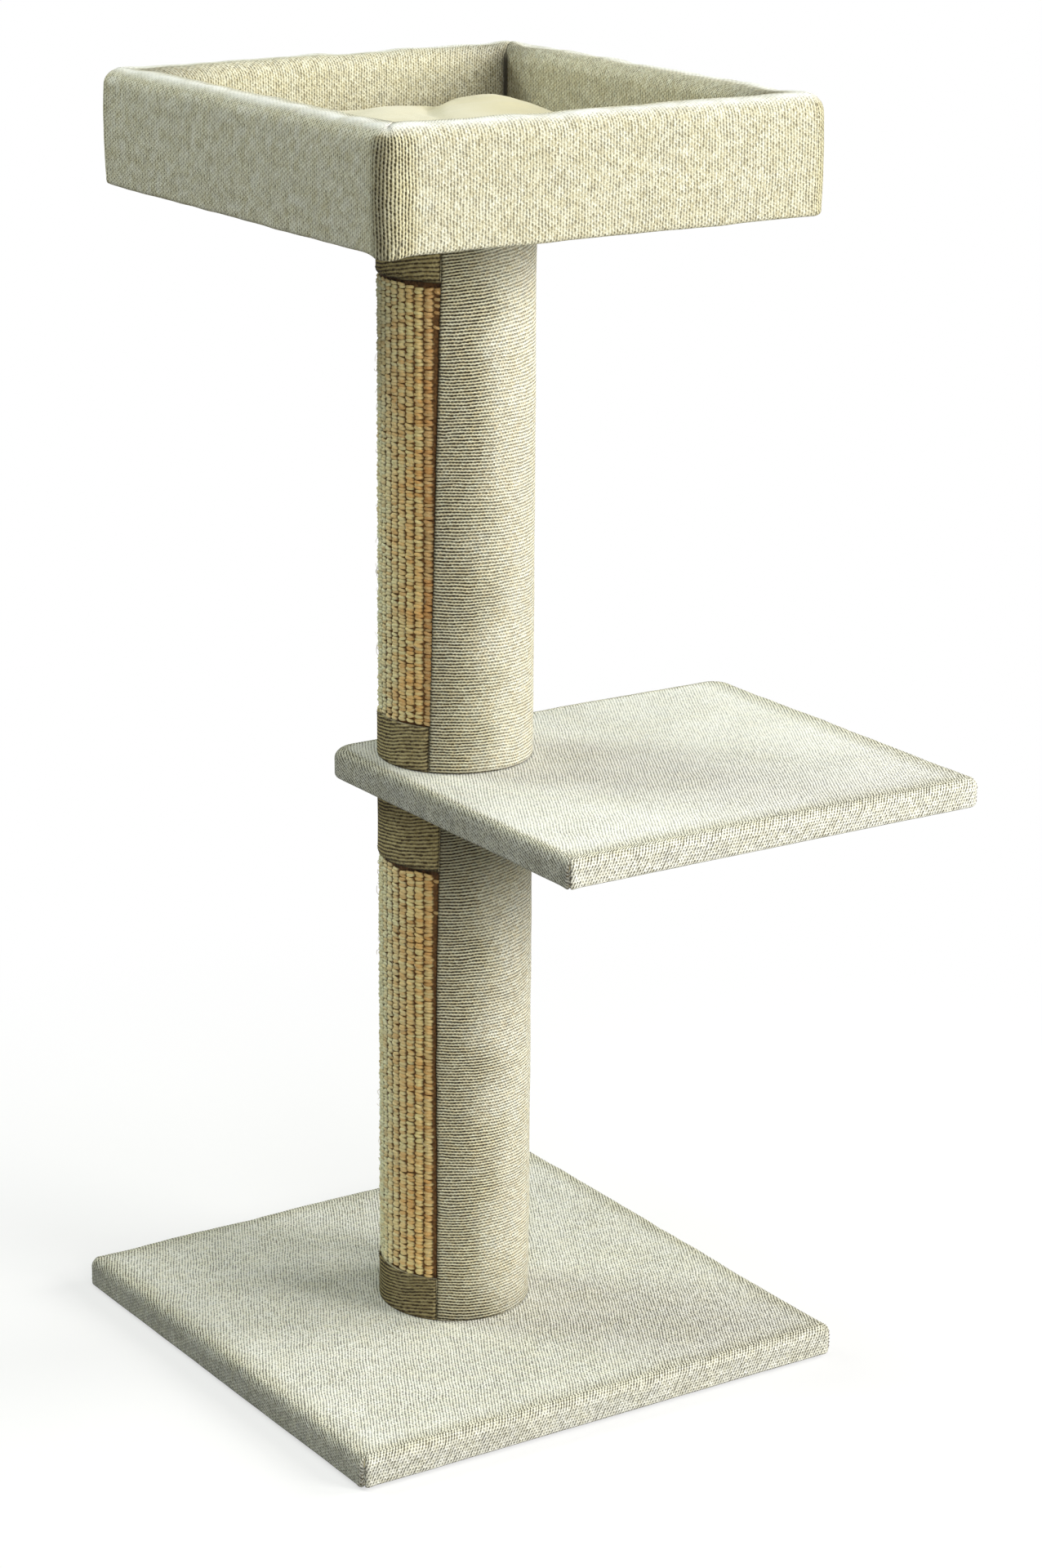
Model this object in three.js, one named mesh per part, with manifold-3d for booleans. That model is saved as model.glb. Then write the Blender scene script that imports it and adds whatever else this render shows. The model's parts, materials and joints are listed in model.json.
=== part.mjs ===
// A two-tier cat scratching post: padded base, sisal post, padded platform, second post, padded tray.
// Millimetres, +Z up. The origin is on the post's axis, on the floor.
// +X is the way the platform reaches furthest, and -Y is the front.
import * as THREE from 'three';
import { mergeVertices } from 'three/addons/utils/BufferGeometryUtils.js';
import Module from 'manifold-3d';

const wasm = await Module();
wasm.setup();

// ---- Driving dimensions -------------------------------------------------------------------------

// Cloth, foam and clearances
const clothThickness = 1.5;
const liningThickness = 1;
const underlayThickness = 2;
const seatGap = 0.3;          // between soft or separately made pieces that lie against each other
const swivelGap = 0.3;        // between a tier that turns and the post faces it bears on
const softEdgeRadius = 9;     // top edges of the padded slabs
const foldInnerRadius = 1;    // inside of the fold where the cloth turns under a board
const hemWidth = 38;          // how far the cloth is folded under
const liningInset = 9;        // lining's edge, in from the side of its tier

// Base
const baseWidth = 500;
const baseDepth = 500;
const baseCornerRadius = 9;
const baseBoardThickness = 18;
const basePadding = 6.2;

// Posts
const postRadius = 69;
const postPadding = 4.9;
const tubeWall = 10;
const plugThickness = 22;
const sisalLength = 390;
const bottomBandHeight = 40;
const lowerTopBandHeight = 64;
const upperTopBandHeight = 59.5;
const sisalMiddleAngle = 180; // from +X, so the strip faces -X
const sisalSpanAngle = 94;
const sisalRibCount = 13;
const sisalBacking = 2;
const sisalRibRelief = 0.4;   // how far the ribs' tops stay under the cloth's surface
const seamGap = 0.6;          // between the cut edges of cloth and sisal that meet at a seam

// Platform
const platformWidth = 436;
const platformDepth = 391;
const platformReachLeft = 89; // post's axis to the left edge
const platformReachBack = 79; // post's axis to the back edge
const platformBoardThickness = 15;
const platformPadding = 6.7;
const platformCornerRadii = { front: 5, right: 13, back: 23, left: 27 };

// Tray
const trayWidth = 434;
const trayDepth = 471;
const trayHeight = 100;
const trayCornerRadius = 15;
const trayFloorThickness = 18;
const trayBoardThickness = 15;
const traySidePadding = 10.7; // foam on each face of the upright boards
const trayRimPadding = 13;    // foam above the upright boards
const trayRimRadius = 14;     // roundness of the padded rim, outside and inside
const trayScrewSpread = 0.3;  // each screw's distance from its wall's middle, as a share of the wall

// Cushion
const cushionCrown = 59;      // thickness at the middle
const cushionEdge = 30;       // thickness near the sides
const cushionClearance = 4;   // to the tray's inside walls
const cushionCornerRadius = 16;
const cushionDrawIn = 10;     // how far the sides pull in between the corners
const cushionRumple = 2.5;    // height of the soft waves on top
const rumpleSpan = 34;        // breadth of those waves

// Fasteners
const threadRadius = 5;
const boltHoleClearance = 0.35;
const hexHeadRadius = 9.6;
const hexHeadHeight = 6.4;
const washerRadius = 15;
const washerThickness = 2;
const counterboreClearance = 1;
const insertBarrelWall = 1.65;
const insertFlangeWidth = 5;
const insertFlangeThickness = 2;
const threadEngagement = 17;
const screwRadius = 2;
const screwHeadRadius = 4.2;
const screwHeadHeight = 2.6;
const screwLength = 45;

// Smoothness
const roundSegments = 48;     // full circle on the posts
const holeSegments = 16;      // full circle on bolts and their holes
const cornerSegments = 5;     // quarter circle in plan
const edgeSegments = 4;       // quarter circle on an edge
const ribSegments = 6;        // across one sisal rib
const screwSegments = 10;
const cushionSegments = 56;
const cushionTopRings = 12;

// ---- Sizes that follow --------------------------------------------------------------------------

const overCloth = clothThickness + seatGap;
const foldRadius = foldInnerRadius + clothThickness;
const baseTop = underlayThickness + clothThickness + baseBoardThickness + basePadding + overCloth;
const lowerPostTop = baseTop + bottomBandHeight + sisalLength + lowerTopBandHeight;
const platformBottom = lowerPostTop + swivelGap;
const platformClothBottom = platformBottom + liningThickness;
const platformTop = platformClothBottom + clothThickness + platformBoardThickness
  + platformPadding + overCloth;
const upperPostBottom = platformTop + swivelGap;
const upperPostTop = upperPostBottom + bottomBandHeight + sisalLength + upperTopBandHeight;
const trayBottom = upperPostTop + swivelGap;
const trayClothBottom = trayBottom + liningThickness;
const trayTop = trayClothBottom + trayHeight;
const trayFloorBottom = trayClothBottom + clothThickness;
const trayFloorTop = trayFloorBottom + trayFloorThickness;
const trayLinerTop = trayFloorTop + clothThickness;
const trayBoardTop = trayTop - overCloth - trayRimPadding;
const trayWallThickness = 2 * (overCloth + traySidePadding) + trayBoardThickness;

const postFoamOuter = postRadius - overCloth;
const postFoamInner = postFoamOuter - postPadding;
const tubeRadius = postFoamInner - seatGap;
const boltHoleRadius = threadRadius + boltHoleClearance;
const insertBarrelRadius = boltHoleRadius + insertBarrelWall;
const counterboreRadius = washerRadius + counterboreClearance;
const counterboreDepth = washerThickness + hexHeadHeight + counterboreClearance;

// ---- Solids -------------------------------------------------------------------------------------

function toManifold(geometry) {
  const bare = geometry.clone();
  bare.deleteAttribute('normal');
  bare.deleteAttribute('uv');
  const merged = mergeVertices(bare, 1e-4);
  return new wasm.Manifold(new wasm.Mesh({
    numProp: 3,
    vertProperties: new Float32Array(merged.attributes.position.array),
    triVerts: new Uint32Array(merged.index.array),
  }));
}

function fromManifold(solid) {
  const mesh = solid.getMesh();
  const geometry = new THREE.BufferGeometry();
  geometry.setAttribute('position', new THREE.BufferAttribute(mesh.vertProperties, 3));
  geometry.setIndex(new THREE.BufferAttribute(mesh.triVerts, 1));
  geometry.computeVertexNormals();
  return geometry;
}

function cut(geometry, ...tools) {
  let solid = toManifold(geometry);
  for (const tool of tools) {
    solid = solid.subtract(toManifold(tool));
  }
  return fromManifold(solid);
}

function joined(first, ...others) {
  let solid = toManifold(first);
  for (const geometry of others) {
    solid = solid.add(toManifold(geometry));
  }
  return fromManifold(solid);
}

function common(first, second) {
  return fromManifold(toManifold(first).intersect(toManifold(second)));
}

// A plan outline with round corners, anticlockwise, drawn in by inset. The corners are named front
// (-X, -Y), right (+X, -Y), back (+X, +Y) and left (-X, +Y).
function roundedOutline(plan, inset) {
  const { left, right, front, back, radii } = plan;
  const corners = [
    { x: left, y: front, sx: 1, sy: 1, start: Math.PI, radius: radii.front },
    { x: right, y: front, sx: -1, sy: 1, start: 1.5 * Math.PI, radius: radii.right },
    { x: right, y: back, sx: -1, sy: -1, start: 0, radius: radii.back },
    { x: left, y: back, sx: 1, sy: -1, start: 0.5 * Math.PI, radius: radii.left },
  ];
  const smallestRadius = 0.6;
  const points = [];
  for (const corner of corners) {
    const radius = Math.max(corner.radius - inset, smallestRadius);
    const centreX = corner.x + corner.sx * (inset + radius);
    const centreY = corner.y + corner.sy * (inset + radius);
    for (let step = 0; step <= cornerSegments; step++) {
      const angle = corner.start + (step / cornerSegments) * Math.PI / 2;
      points.push([centreX + radius * Math.cos(angle), centreY + radius * Math.sin(angle)]);
    }
  }
  return points;
}

// A closed solid through a stack of rings, each a list of [x, y, z] of one length.
function loft(rings) {
  const count = rings[0].length;
  const positions = rings.flat(2);
  const triangles = [];
  for (let row = 0; row + 1 < rings.length; row++) {
    for (let i = 0; i < count; i++) {
      const a = row * count + i;
      const b = row * count + (i + 1) % count;
      triangles.push(a, b, b + count, a, b + count, a + count);
    }
  }
  const addCap = (ring, first, flip) => {
    const middle = positions.length / 3;
    const mean = [0, 1, 2].map((k) => ring.reduce((sum, p) => sum + p[k], 0) / count);
    positions.push(...mean);
    for (let i = 0; i < count; i++) {
      const a = first + i;
      const b = first + (i + 1) % count;
      triangles.push(...(flip ? [b, a, middle] : [a, b, middle]));
    }
  };
  addCap(rings[0], 0, true);
  addCap(rings[rings.length - 1], (rings.length - 1) * count, false);
  const geometry = new THREE.BufferGeometry();
  geometry.setAttribute('position', new THREE.Float32BufferAttribute(positions, 3));
  geometry.setIndex(triangles);
  return geometry;
}

// A solid over a plan, from a section of [inset, z] pairs that runs from the bottom cap to the top.
function planSolid(plan, section) {
  return loft(section.map(([inset, z]) => roundedOutline(plan, inset).map(([x, y]) => [x, y, z])));
}

// Part of a section: a quarter round between two directions, given by its centre and radius.
function quarterRound(centreInset, centreZ, radius, fromAngle, toAngle) {
  const section = [];
  for (let step = 0; step <= edgeSegments; step++) {
    const angle = THREE.MathUtils.degToRad(fromAngle + (toAngle - fromAngle) * step / edgeSegments);
    section.push([centreInset - radius * Math.cos(angle), centreZ + radius * Math.sin(angle)]);
  }
  return section;
}

function plate(plan, inset, bottom, top) {
  return planSolid(plan, [[inset, bottom], [inset, top]]);
}

function cylinder(radius, bottom, top, segments = holeSegments) {
  const geometry = new THREE.CylinderGeometry(radius, radius, top - bottom, segments);
  geometry.rotateX(Math.PI / 2);
  geometry.translate(0, 0, (bottom + top) / 2);
  return geometry;
}

function box(left, right, front, back, bottom, top) {
  const geometry = new THREE.BoxGeometry(right - left, back - front, top - bottom);
  geometry.translate((left + right) / 2, (front + back) / 2, (bottom + top) / 2);
  return geometry;
}

// A piece turned about an upright axis, from [radius, z] pairs.
function turned(profile, segments, x = 0, y = 0) {
  const geometry = new THREE.LatheGeometry(profile.map(([r, z]) => new THREE.Vector2(r, z)), segments);
  geometry.rotateX(Math.PI / 2);
  geometry.translate(x, y, 0);
  return geometry;
}

function ringProfile(inner, outer, bottom, top) {
  return [[inner, bottom], [outer, bottom], [outer, top], [inner, top], [inner, bottom]];
}

// ---- The object's pieces ------------------------------------------------------------------------

const catPost = new THREE.Group();

const finishes = {
  cloth: { color: 0xcfc7ae, roughness: 0.95, metalness: 0 },
  darkCloth: { color: 0x4a4842, roughness: 0.95, metalness: 0 },
  cream: { color: 0xe3dcc0, roughness: 0.9, metalness: 0 },
  sisal: { color: 0xb89a66, roughness: 0.9, metalness: 0 },
  foam: { color: 0xe8e2cf, roughness: 0.9, metalness: 0 },
  board: { color: 0xc09a6b, roughness: 0.75, metalness: 0 },
  paper: { color: 0xa8865c, roughness: 0.85, metalness: 0 },
  steel: { color: 0xb9bcc0, roughness: 0.35, metalness: 1 },
};

function addPiece(name, geometry, finish) {
  const mesh = new THREE.Mesh(geometry, new THREE.MeshStandardMaterial({ ...finishes[finish] }));
  mesh.name = name;
  catPost.add(mesh);
}

function evenRadii(radius) {
  return { front: radius, right: radius, back: radius, left: radius };
}

function centredPlan(width, depth, radii) {
  return { left: -width / 2, right: width / 2, front: -depth / 2, back: depth / 2, radii };
}

const basePlan = centredPlan(baseWidth, baseDepth, evenRadii(baseCornerRadius));
const trayPlan = centredPlan(trayWidth, trayDepth, evenRadii(trayCornerRadius));
const platformPlan = {
  left: -platformReachLeft,
  right: platformWidth - platformReachLeft,
  front: platformReachBack - platformDepth,
  back: platformReachBack,
  radii: platformCornerRadii,
};

function boltHole(bottom, top) {
  return cylinder(boltHoleRadius, bottom - 1, top + 1);
}

// Outside of a padded slab: folded bottom edge, straight side, soft top edge.
function slabSection(inset, bottom, top, topRadius, bottomRadius) {
  return [
    ...quarterRound(inset + bottomRadius, bottom + bottomRadius, bottomRadius, -90, 0),
    ...quarterRound(inset + topRadius, top - topRadius, topRadius, 0, 90),
  ];
}

// The cover, foam and board of a flat padded tier. Returns where the board lies.
function addPaddedSlab(prefix, plan, bottom, boardThickness, padding) {
  const boardBottom = bottom + clothThickness;
  const boardTop = boardBottom + boardThickness;
  const foamTop = boardTop + padding;
  const top = foamTop + overCloth;
  const boardInset = overCloth + padding;
  const hole = boltHole(bottom, top);
  const outside = planSolid(plan, slabSection(0, bottom, top, softEdgeRadius, foldRadius));
  const hollow = planSolid(plan, [
    [hemWidth, bottom - 1],
    [hemWidth, boardBottom],
    ...slabSection(clothThickness, boardBottom, top - clothThickness,
      softEdgeRadius - clothThickness, foldInnerRadius),
  ]);
  addPiece(`${prefix}_cover`, cut(outside, hollow, hole), 'cloth');

  const foam = planSolid(plan, slabSection(overCloth, boardBottom + seatGap, foamTop,
    softEdgeRadius - overCloth, foldInnerRadius));
  const boardSpace = plate(plan, boardInset, bottom, boardTop);
  addPiece(`${prefix}_padding`, cut(foam, boardSpace, hole), 'foam');
  return { boardInset, boardBottom, boardTop };
}

function hexHead(bottom, top) {
  return cylinder(hexHeadRadius, bottom, top, 6);
}

function washer(bottom) {
  return turned(ringProfile(boltHoleRadius, washerRadius, bottom, bottom + washerThickness), holeSegments);
}

// Base: underlay, cover, padding, board, bolt and washer.
function addBase() {
  addPiece('base_underlay', plate(basePlan, liningInset, 0, underlayThickness), 'darkCloth');
  const board = addPaddedSlab('base', basePlan, underlayThickness, baseBoardThickness, basePadding);
  const recessTop = board.boardBottom + counterboreDepth;
  const recess = cylinder(counterboreRadius, board.boardBottom - 1, recessTop, 2 * holeSegments);
  addPiece('base_board', cut(plate(basePlan, board.boardInset, board.boardBottom, board.boardTop),
    recess, boltHole(board.boardBottom, board.boardTop)), 'board');
  const washerBottom = recessTop - washerThickness;
  addPiece('base_washer', washer(washerBottom), 'steel');
  addPiece('base_bolt', joined(
    hexHead(washerBottom - hexHeadHeight, washerBottom),
    cylinder(threadRadius, washerBottom - 1, baseTop + threadEngagement),
  ), 'steel');
}

// Platform: cover, padding, board and lining.
function addPlatform() {
  const board = addPaddedSlab('platform', platformPlan, platformClothBottom, platformBoardThickness,
    platformPadding);
  addPiece('platform_board', cut(plate(platformPlan, board.boardInset, board.boardBottom, board.boardTop),
    boltHole(board.boardBottom, board.boardTop)), 'board');
  addPiece('platform_lining', cut(plate(platformPlan, liningInset, platformBottom, platformClothBottom),
    boltHole(platformBottom, platformClothBottom)), 'cloth');
}

// A flanged insert in a plug. Its barrel starts at the joint face and its flange lies inside.
function insert(jointZ, inward) {
  const bore = boltHoleRadius;
  const barrel = insertBarrelRadius;
  const flange = barrel + insertFlangeWidth;
  const flangeZ = jointZ + inward * plugThickness;
  const endZ = flangeZ + inward * insertFlangeThickness;
  const outline = [
    [bore, jointZ], [barrel, jointZ], [barrel, flangeZ], [flange, flangeZ], [flange, endZ],
    [bore, endZ], [bore, jointZ],
  ];
  return turned(inward > 0 ? outline : outline.reverse(), holeSegments);
}

function plug(bottom, top) {
  const bore = insertBarrelRadius + seatGap;
  const outer = tubeRadius - tubeWall - seatGap;
  return turned(ringProfile(bore, outer, bottom, top), roundSegments);
}

// A band of a round wall between two angles, as an upright extrusion.
function arcWall(inner, outer, fromAngle, toAngle, bottom, top) {
  const from = THREE.MathUtils.degToRad(fromAngle);
  const to = THREE.MathUtils.degToRad(toAngle);
  const steps = Math.ceil(roundSegments * (toAngle - fromAngle) / 360);
  const points = [];
  for (let step = 0; step <= steps; step++) {
    const angle = from + (to - from) * step / steps;
    points.push(new THREE.Vector2(outer * Math.cos(angle), outer * Math.sin(angle)));
  }
  for (let step = steps; step >= 0; step--) {
    const angle = from + (to - from) * step / steps;
    points.push(new THREE.Vector2(inner * Math.cos(angle), inner * Math.sin(angle)));
  }
  return upright(new THREE.Shape(points), bottom, top);
}

function upright(shape, bottom, top) {
  const geometry = new THREE.ExtrudeGeometry(shape, { depth: top - bottom, bevelEnabled: false });
  geometry.translate(0, 0, bottom);
  return geometry;
}

// The sisal strip: a thin backing with half-round upright ribs side by side.
function sisalStrip(bottom, top, fromAngle, toAngle) {
  const inner = postFoamInner;
  const backing = inner + sisalBacking;
  const crest = postRadius - sisalRibRelief;
  const steps = sisalRibCount * ribSegments;
  const points = [];
  for (let step = 0; step <= steps; step++) {
    const angle = THREE.MathUtils.degToRad(fromAngle + (toAngle - fromAngle) * step / steps);
    const acrossRib = (step % ribSegments) / ribSegments;
    const radius = backing + (crest - backing) * Math.sqrt(Math.sin(Math.PI * acrossRib));
    points.push(new THREE.Vector2(radius * Math.cos(angle), radius * Math.sin(angle)));
  }
  for (let rib = sisalRibCount; rib >= 0; rib--) {
    const angle = THREE.MathUtils.degToRad(fromAngle + (toAngle - fromAngle) * rib / sisalRibCount);
    points.push(new THREE.Vector2(inner * Math.cos(angle), inner * Math.sin(angle)));
  }
  return upright(new THREE.Shape(points), bottom, top);
}

// One post: tube, plugs, inserts, padding, sleeve, sisal strip and the bands over its ends.
function addPost(prefix, bottom, top) {
  const sisalBottom = bottom + bottomBandHeight;
  const sisalTop = sisalBottom + sisalLength;
  const boreRadius = tubeRadius - tubeWall;
  const clothInner = postRadius - clothThickness;
  const from = sisalMiddleAngle - sisalSpanAngle / 2;
  const to = sisalMiddleAngle + sisalSpanAngle / 2;
  const seamAngle = THREE.MathUtils.radToDeg(seamGap / postRadius);
  const patchFrom = from + seamAngle;
  const patchTo = to - seamAngle;
  const band = (low, high) => arcWall(clothInner, postRadius, patchFrom, patchTo, low, high);

  addPiece(`${prefix}_tube`, turned(ringProfile(boreRadius, tubeRadius, bottom, top), roundSegments),
    'paper');
  addPiece(`${prefix}_bottom_plug`, plug(bottom, bottom + plugThickness), 'board');
  addPiece(`${prefix}_top_plug`, plug(top - plugThickness, top), 'board');
  addPiece(`${prefix}_bottom_insert`, insert(bottom, 1), 'steel');
  addPiece(`${prefix}_top_insert`, insert(top, -1), 'steel');

  const foam = turned(ringProfile(postFoamInner, postFoamOuter, bottom, top), roundSegments);
  const window = arcWall(tubeRadius - 1, postRadius + 1, from, to, sisalBottom, sisalTop);
  addPiece(`${prefix}_padding`, cut(foam, window), 'foam');
  addPiece(`${prefix}_cover`, arcWall(clothInner, postRadius, to, from + 360, bottom, top), 'cloth');
  addPiece(`${prefix}_sisal`, sisalStrip(sisalBottom + seamGap, sisalTop - seamGap,
    patchFrom, patchTo), 'sisal');
  addPiece(`${prefix}_bottom_band`, band(bottom, sisalBottom), 'cloth');
  addPiece(`${prefix}_top_band`, band(sisalTop, top), 'cloth');
}

function addCentreStud() {
  addPiece('centre_stud', cylinder(threadRadius, lowerPostTop - threadEngagement,
    upperPostBottom + threadEngagement), 'steel');
}

// The tray's section, from under the floor, up the outside, over the padded rim and down inside.
// inset is how far it lies under the cover's surface, and floorZ is where it ends in the middle.
function traySection(inset, bottom, fold, floorZ) {
  const rimTop = trayTop - inset;
  const radius = trayRimRadius - inset;
  return [
    ...quarterRound(inset + fold, bottom + fold, fold, -90, 0),
    ...quarterRound(trayRimRadius, rimTop - radius, radius, 0, 90),
    ...quarterRound(trayWallThickness - trayRimRadius, rimTop - radius, radius, 90, 180),
    [trayWallThickness - inset, floorZ],
  ];
}

// Where the tray's boards lie: the outer and inner faces of the upright frame.
const boardOuterInset = overCloth + traySidePadding;
const frameOutX = trayWidth / 2 - boardOuterInset;
const frameOutY = trayDepth / 2 - boardOuterInset;
const frameInX = frameOutX - trayBoardThickness;
const frameInY = frameOutY - trayBoardThickness;

function frameBox(halfX, halfY, bottom, top) {
  return box(-halfX, halfX, -halfY, halfY, bottom, top);
}

const wallBoards = {
  front: [-frameOutX, frameOutX, -frameOutY, -frameInY],
  back: [-frameOutX, frameOutX, frameInY, frameOutY],
  left: [-frameOutX, -frameInX, -frameInY, frameInY],
  right: [frameInX, frameOutX, -frameInY, frameInY],
};

// All four foam wraps in one ring, before the mitre cuts.
function foamOverFrame() {
  const frame = cut(
    frameBox(frameOutX, frameOutY, trayFloorTop - 1, trayBoardTop),
    frameBox(frameInX, frameInY, trayFloorTop - 2, trayBoardTop + 1),
  );
  return cut(
    planSolid(trayPlan, traySection(overCloth, trayFloorBottom + seatGap, foldInnerRadius,
      trayFloorTop)),
    frameBox(frameOutX, frameOutY, trayBottom, trayFloorTop),
    frame,
  );
}

// The part of the tray's plan that belongs to one wall, cut at 45 degrees at the corners.
function mitreWedge(side) {
  const alongX = side === 'front' || side === 'back';
  const sign = side === 'front' || side === 'left' ? -1 : 1;
  const halfLength = (alongX ? trayWidth : trayDepth) / 2 - seatGap;
  const halfReach = (alongX ? trayDepth : trayWidth) / 2;
  const depth = trayWallThickness + 1;
  const corners = [
    [-halfLength - 1, halfReach + 1],
    [-halfLength + depth, halfReach - depth],
    [halfLength - depth, halfReach - depth],
    [halfLength + 1, halfReach + 1],
  ];
  const points = corners.map(([along, out]) => (
    alongX ? new THREE.Vector2(along, sign * out) : new THREE.Vector2(sign * out, along)
  ));
  return upright(new THREE.Shape(points), trayBottom - 1, trayTop + 1);
}

// Two screws go up into each wall board.
function screwPlaces() {
  const x = trayWidth * trayScrewSpread;
  const y = trayDepth * trayScrewSpread;
  const lineX = (frameOutX + frameInX) / 2;
  const lineY = (frameOutY + frameInY) / 2;
  return [
    [-x, -lineY], [x, -lineY], [-x, lineY], [x, lineY],
    [-lineX, -y], [-lineX, y], [lineX, -y], [lineX, y],
  ];
}

function screw([x, y]) {
  const bottom = trayFloorBottom;
  const profile = [
    [0, bottom], [screwHeadRadius, bottom], [screwRadius, bottom + screwHeadHeight],
    [screwRadius, bottom + screwLength - 2 * screwRadius], [0, bottom + screwLength],
  ];
  return turned(profile, screwSegments, x, y);
}

function screwHole([x, y]) {
  const bottom = trayFloorBottom;
  const shank = screwRadius + seatGap;
  const profile = [
    [0, bottom - 1], [screwHeadRadius + seatGap + 1, bottom - 1],
    [shank, bottom + screwHeadHeight + seatGap], [shank, bottom + screwLength],
    [0, bottom + screwLength + 1],
  ];
  return turned(profile, screwSegments, x, y);
}

// Tray: cover, floor, four upright boards, four foam wraps, screws, lining, bolt and washer.
function addTray() {
  const coverOutside = planSolid(trayPlan, traySection(0, trayClothBottom, foldRadius, trayLinerTop));
  const coverHollow = planSolid(trayPlan, [
    [hemWidth, trayClothBottom - 1],
    [hemWidth, trayFloorBottom],
    ...traySection(clothThickness, trayFloorBottom, foldInnerRadius, trayFloorTop),
  ]);
  const recessBottom = trayFloorTop - counterboreDepth;
  const recess = cylinder(counterboreRadius, recessBottom, trayLinerTop + 1, 2 * holeSegments);
  addPiece('tray_cover', cut(coverOutside, coverHollow, recess), 'cloth');

  const holes = screwPlaces().map(screwHole);
  addPiece('tray_floor', cut(frameBox(frameOutX, frameOutY, trayFloorBottom, trayFloorTop),
    recess, boltHole(trayFloorBottom, trayFloorTop), ...holes), 'board');
  const foam = foamOverFrame();
  for (const [side, [left, right, front, back]] of Object.entries(wallBoards)) {
    const board = box(left, right, front, back, trayFloorTop, trayBoardTop);
    addPiece(`tray_wall_${side}`, cut(board, ...holes), 'board');
    addPiece(`tray_pad_${side}`, common(foam, mitreWedge(side)), 'foam');
  }
  screwPlaces().forEach((place, index) => {
    addPiece(`tray_screw_${index + 1}`, screw(place), 'steel');
  });
  addPiece('tray_lining', cut(plate(trayPlan, liningInset, trayBottom, trayClothBottom),
    boltHole(trayBottom, trayClothBottom)), 'cloth');

  const washerBottom = recessBottom + swivelGap;
  const headBottom = washerBottom + washerThickness;
  addPiece('tray_washer', washer(washerBottom), 'steel');
  addPiece('tray_bolt', joined(
    hexHead(headBottom, headBottom + hexHeadHeight),
    cylinder(threadRadius, upperPostTop - threadEngagement, headBottom + 1),
  ), 'steel');
}

// The cushion's outline in plan at a share of its full size, its sides drawn in between corners.
function cushionOutline(share) {
  const halfX = trayWidth / 2 - trayWallThickness - cushionClearance;
  const halfY = trayDepth / 2 - trayWallThickness - cushionClearance;
  const radius = cushionCornerRadius;
  const points = [];
  for (let step = 0; step < cushionSegments; step++) {
    const angle = 2 * Math.PI * step / cushionSegments;
    const alongX = Math.cos(angle);
    const alongY = Math.sin(angle);
    const reach = 1 / Math.max(Math.abs(alongX), Math.abs(alongY));
    const squareX = alongX * reach;
    const squareY = alongY * reach;
    const x = squareX * (halfX - radius) + radius * alongX;
    const y = squareY * (halfY - radius) + radius * alongY;
    const toCorner = Math.min(Math.abs(squareX), Math.abs(squareY));
    const drawIn = cushionDrawIn * (1 - toCorner ** 2);
    const length = Math.hypot(x, y);
    points.push([x * share * (1 - drawIn / length), y * share * (1 - drawIn / length)]);
  }
  return points;
}

// The cushion: flat underneath, round at its edge, crowned and softly rumpled on top.
function cushionSolid() {
  const bottom = trayLinerTop + seatGap;
  const halfX = trayWidth / 2 - trayWallThickness;
  const halfY = trayDepth / 2 - trayWallThickness;
  const seamHeight = 0.42 * cushionEdge;
  const underside = [[0.93, 0], [0.975, 0.25 * seamHeight], [1, seamHeight]];
  const rings = underside.map(([share, height]) => (
    cushionOutline(share).map(([x, y]) => [x, y, bottom + height])
  ));
  for (let ring = 0; ring < cushionTopRings; ring++) {
    const share = Math.cos((ring + 0.6) / cushionTopRings * Math.PI / 2);
    const overEdge = Math.sqrt(1 - share ** 6);
    rings.push(cushionOutline(share).map(([x, y]) => {
      const dome = (1 - (x / halfX) ** 2) * (1 - (y / halfY) ** 2);
      const wave = Math.sin(x / rumpleSpan) * Math.cos(y / rumpleSpan - x / (3 * rumpleSpan));
      const edge = seamHeight + (cushionEdge - seamHeight) * overEdge;
      return [x, y, bottom + edge + (cushionCrown - cushionEdge) * dome + cushionRumple * wave * dome];
    }));
  }
  return loft(rings);
}

addBase();
addPost('lower_post', baseTop, lowerPostTop);
addCentreStud();
addPlatform();
addPost('upper_post', upperPostBottom, upperPostTop);
addTray();
addPiece('cushion', cushionSolid(), 'cream');

export default catPost;
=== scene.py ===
"""Cat scratching post: padded base, two posts with sisal strips, padded platform, and a padded tray
with a loose cushion. Metres, in the part's own frame."""
import json
from math import cos, pi, radians, sin, tau

import bmesh
import bpy
import numpy as np
from mathutils import Matrix, Vector, noise


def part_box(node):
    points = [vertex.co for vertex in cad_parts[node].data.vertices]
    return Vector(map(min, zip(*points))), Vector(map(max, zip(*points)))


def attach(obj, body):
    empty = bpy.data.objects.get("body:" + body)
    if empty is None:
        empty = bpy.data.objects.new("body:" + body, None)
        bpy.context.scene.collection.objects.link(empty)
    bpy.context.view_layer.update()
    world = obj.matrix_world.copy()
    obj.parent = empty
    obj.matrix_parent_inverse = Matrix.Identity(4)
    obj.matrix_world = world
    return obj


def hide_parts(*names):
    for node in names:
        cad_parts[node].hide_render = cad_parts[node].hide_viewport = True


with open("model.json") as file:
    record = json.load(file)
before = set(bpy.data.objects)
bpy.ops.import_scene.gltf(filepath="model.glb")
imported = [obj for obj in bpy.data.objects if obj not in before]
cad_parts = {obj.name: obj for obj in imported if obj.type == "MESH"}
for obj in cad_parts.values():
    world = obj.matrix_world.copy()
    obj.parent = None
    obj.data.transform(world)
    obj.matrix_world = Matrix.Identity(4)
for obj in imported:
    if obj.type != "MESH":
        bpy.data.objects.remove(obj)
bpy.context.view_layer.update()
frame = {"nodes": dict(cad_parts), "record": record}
nodes = frame["nodes"]
scene = bpy.context.scene
MM = 0.001

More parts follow.
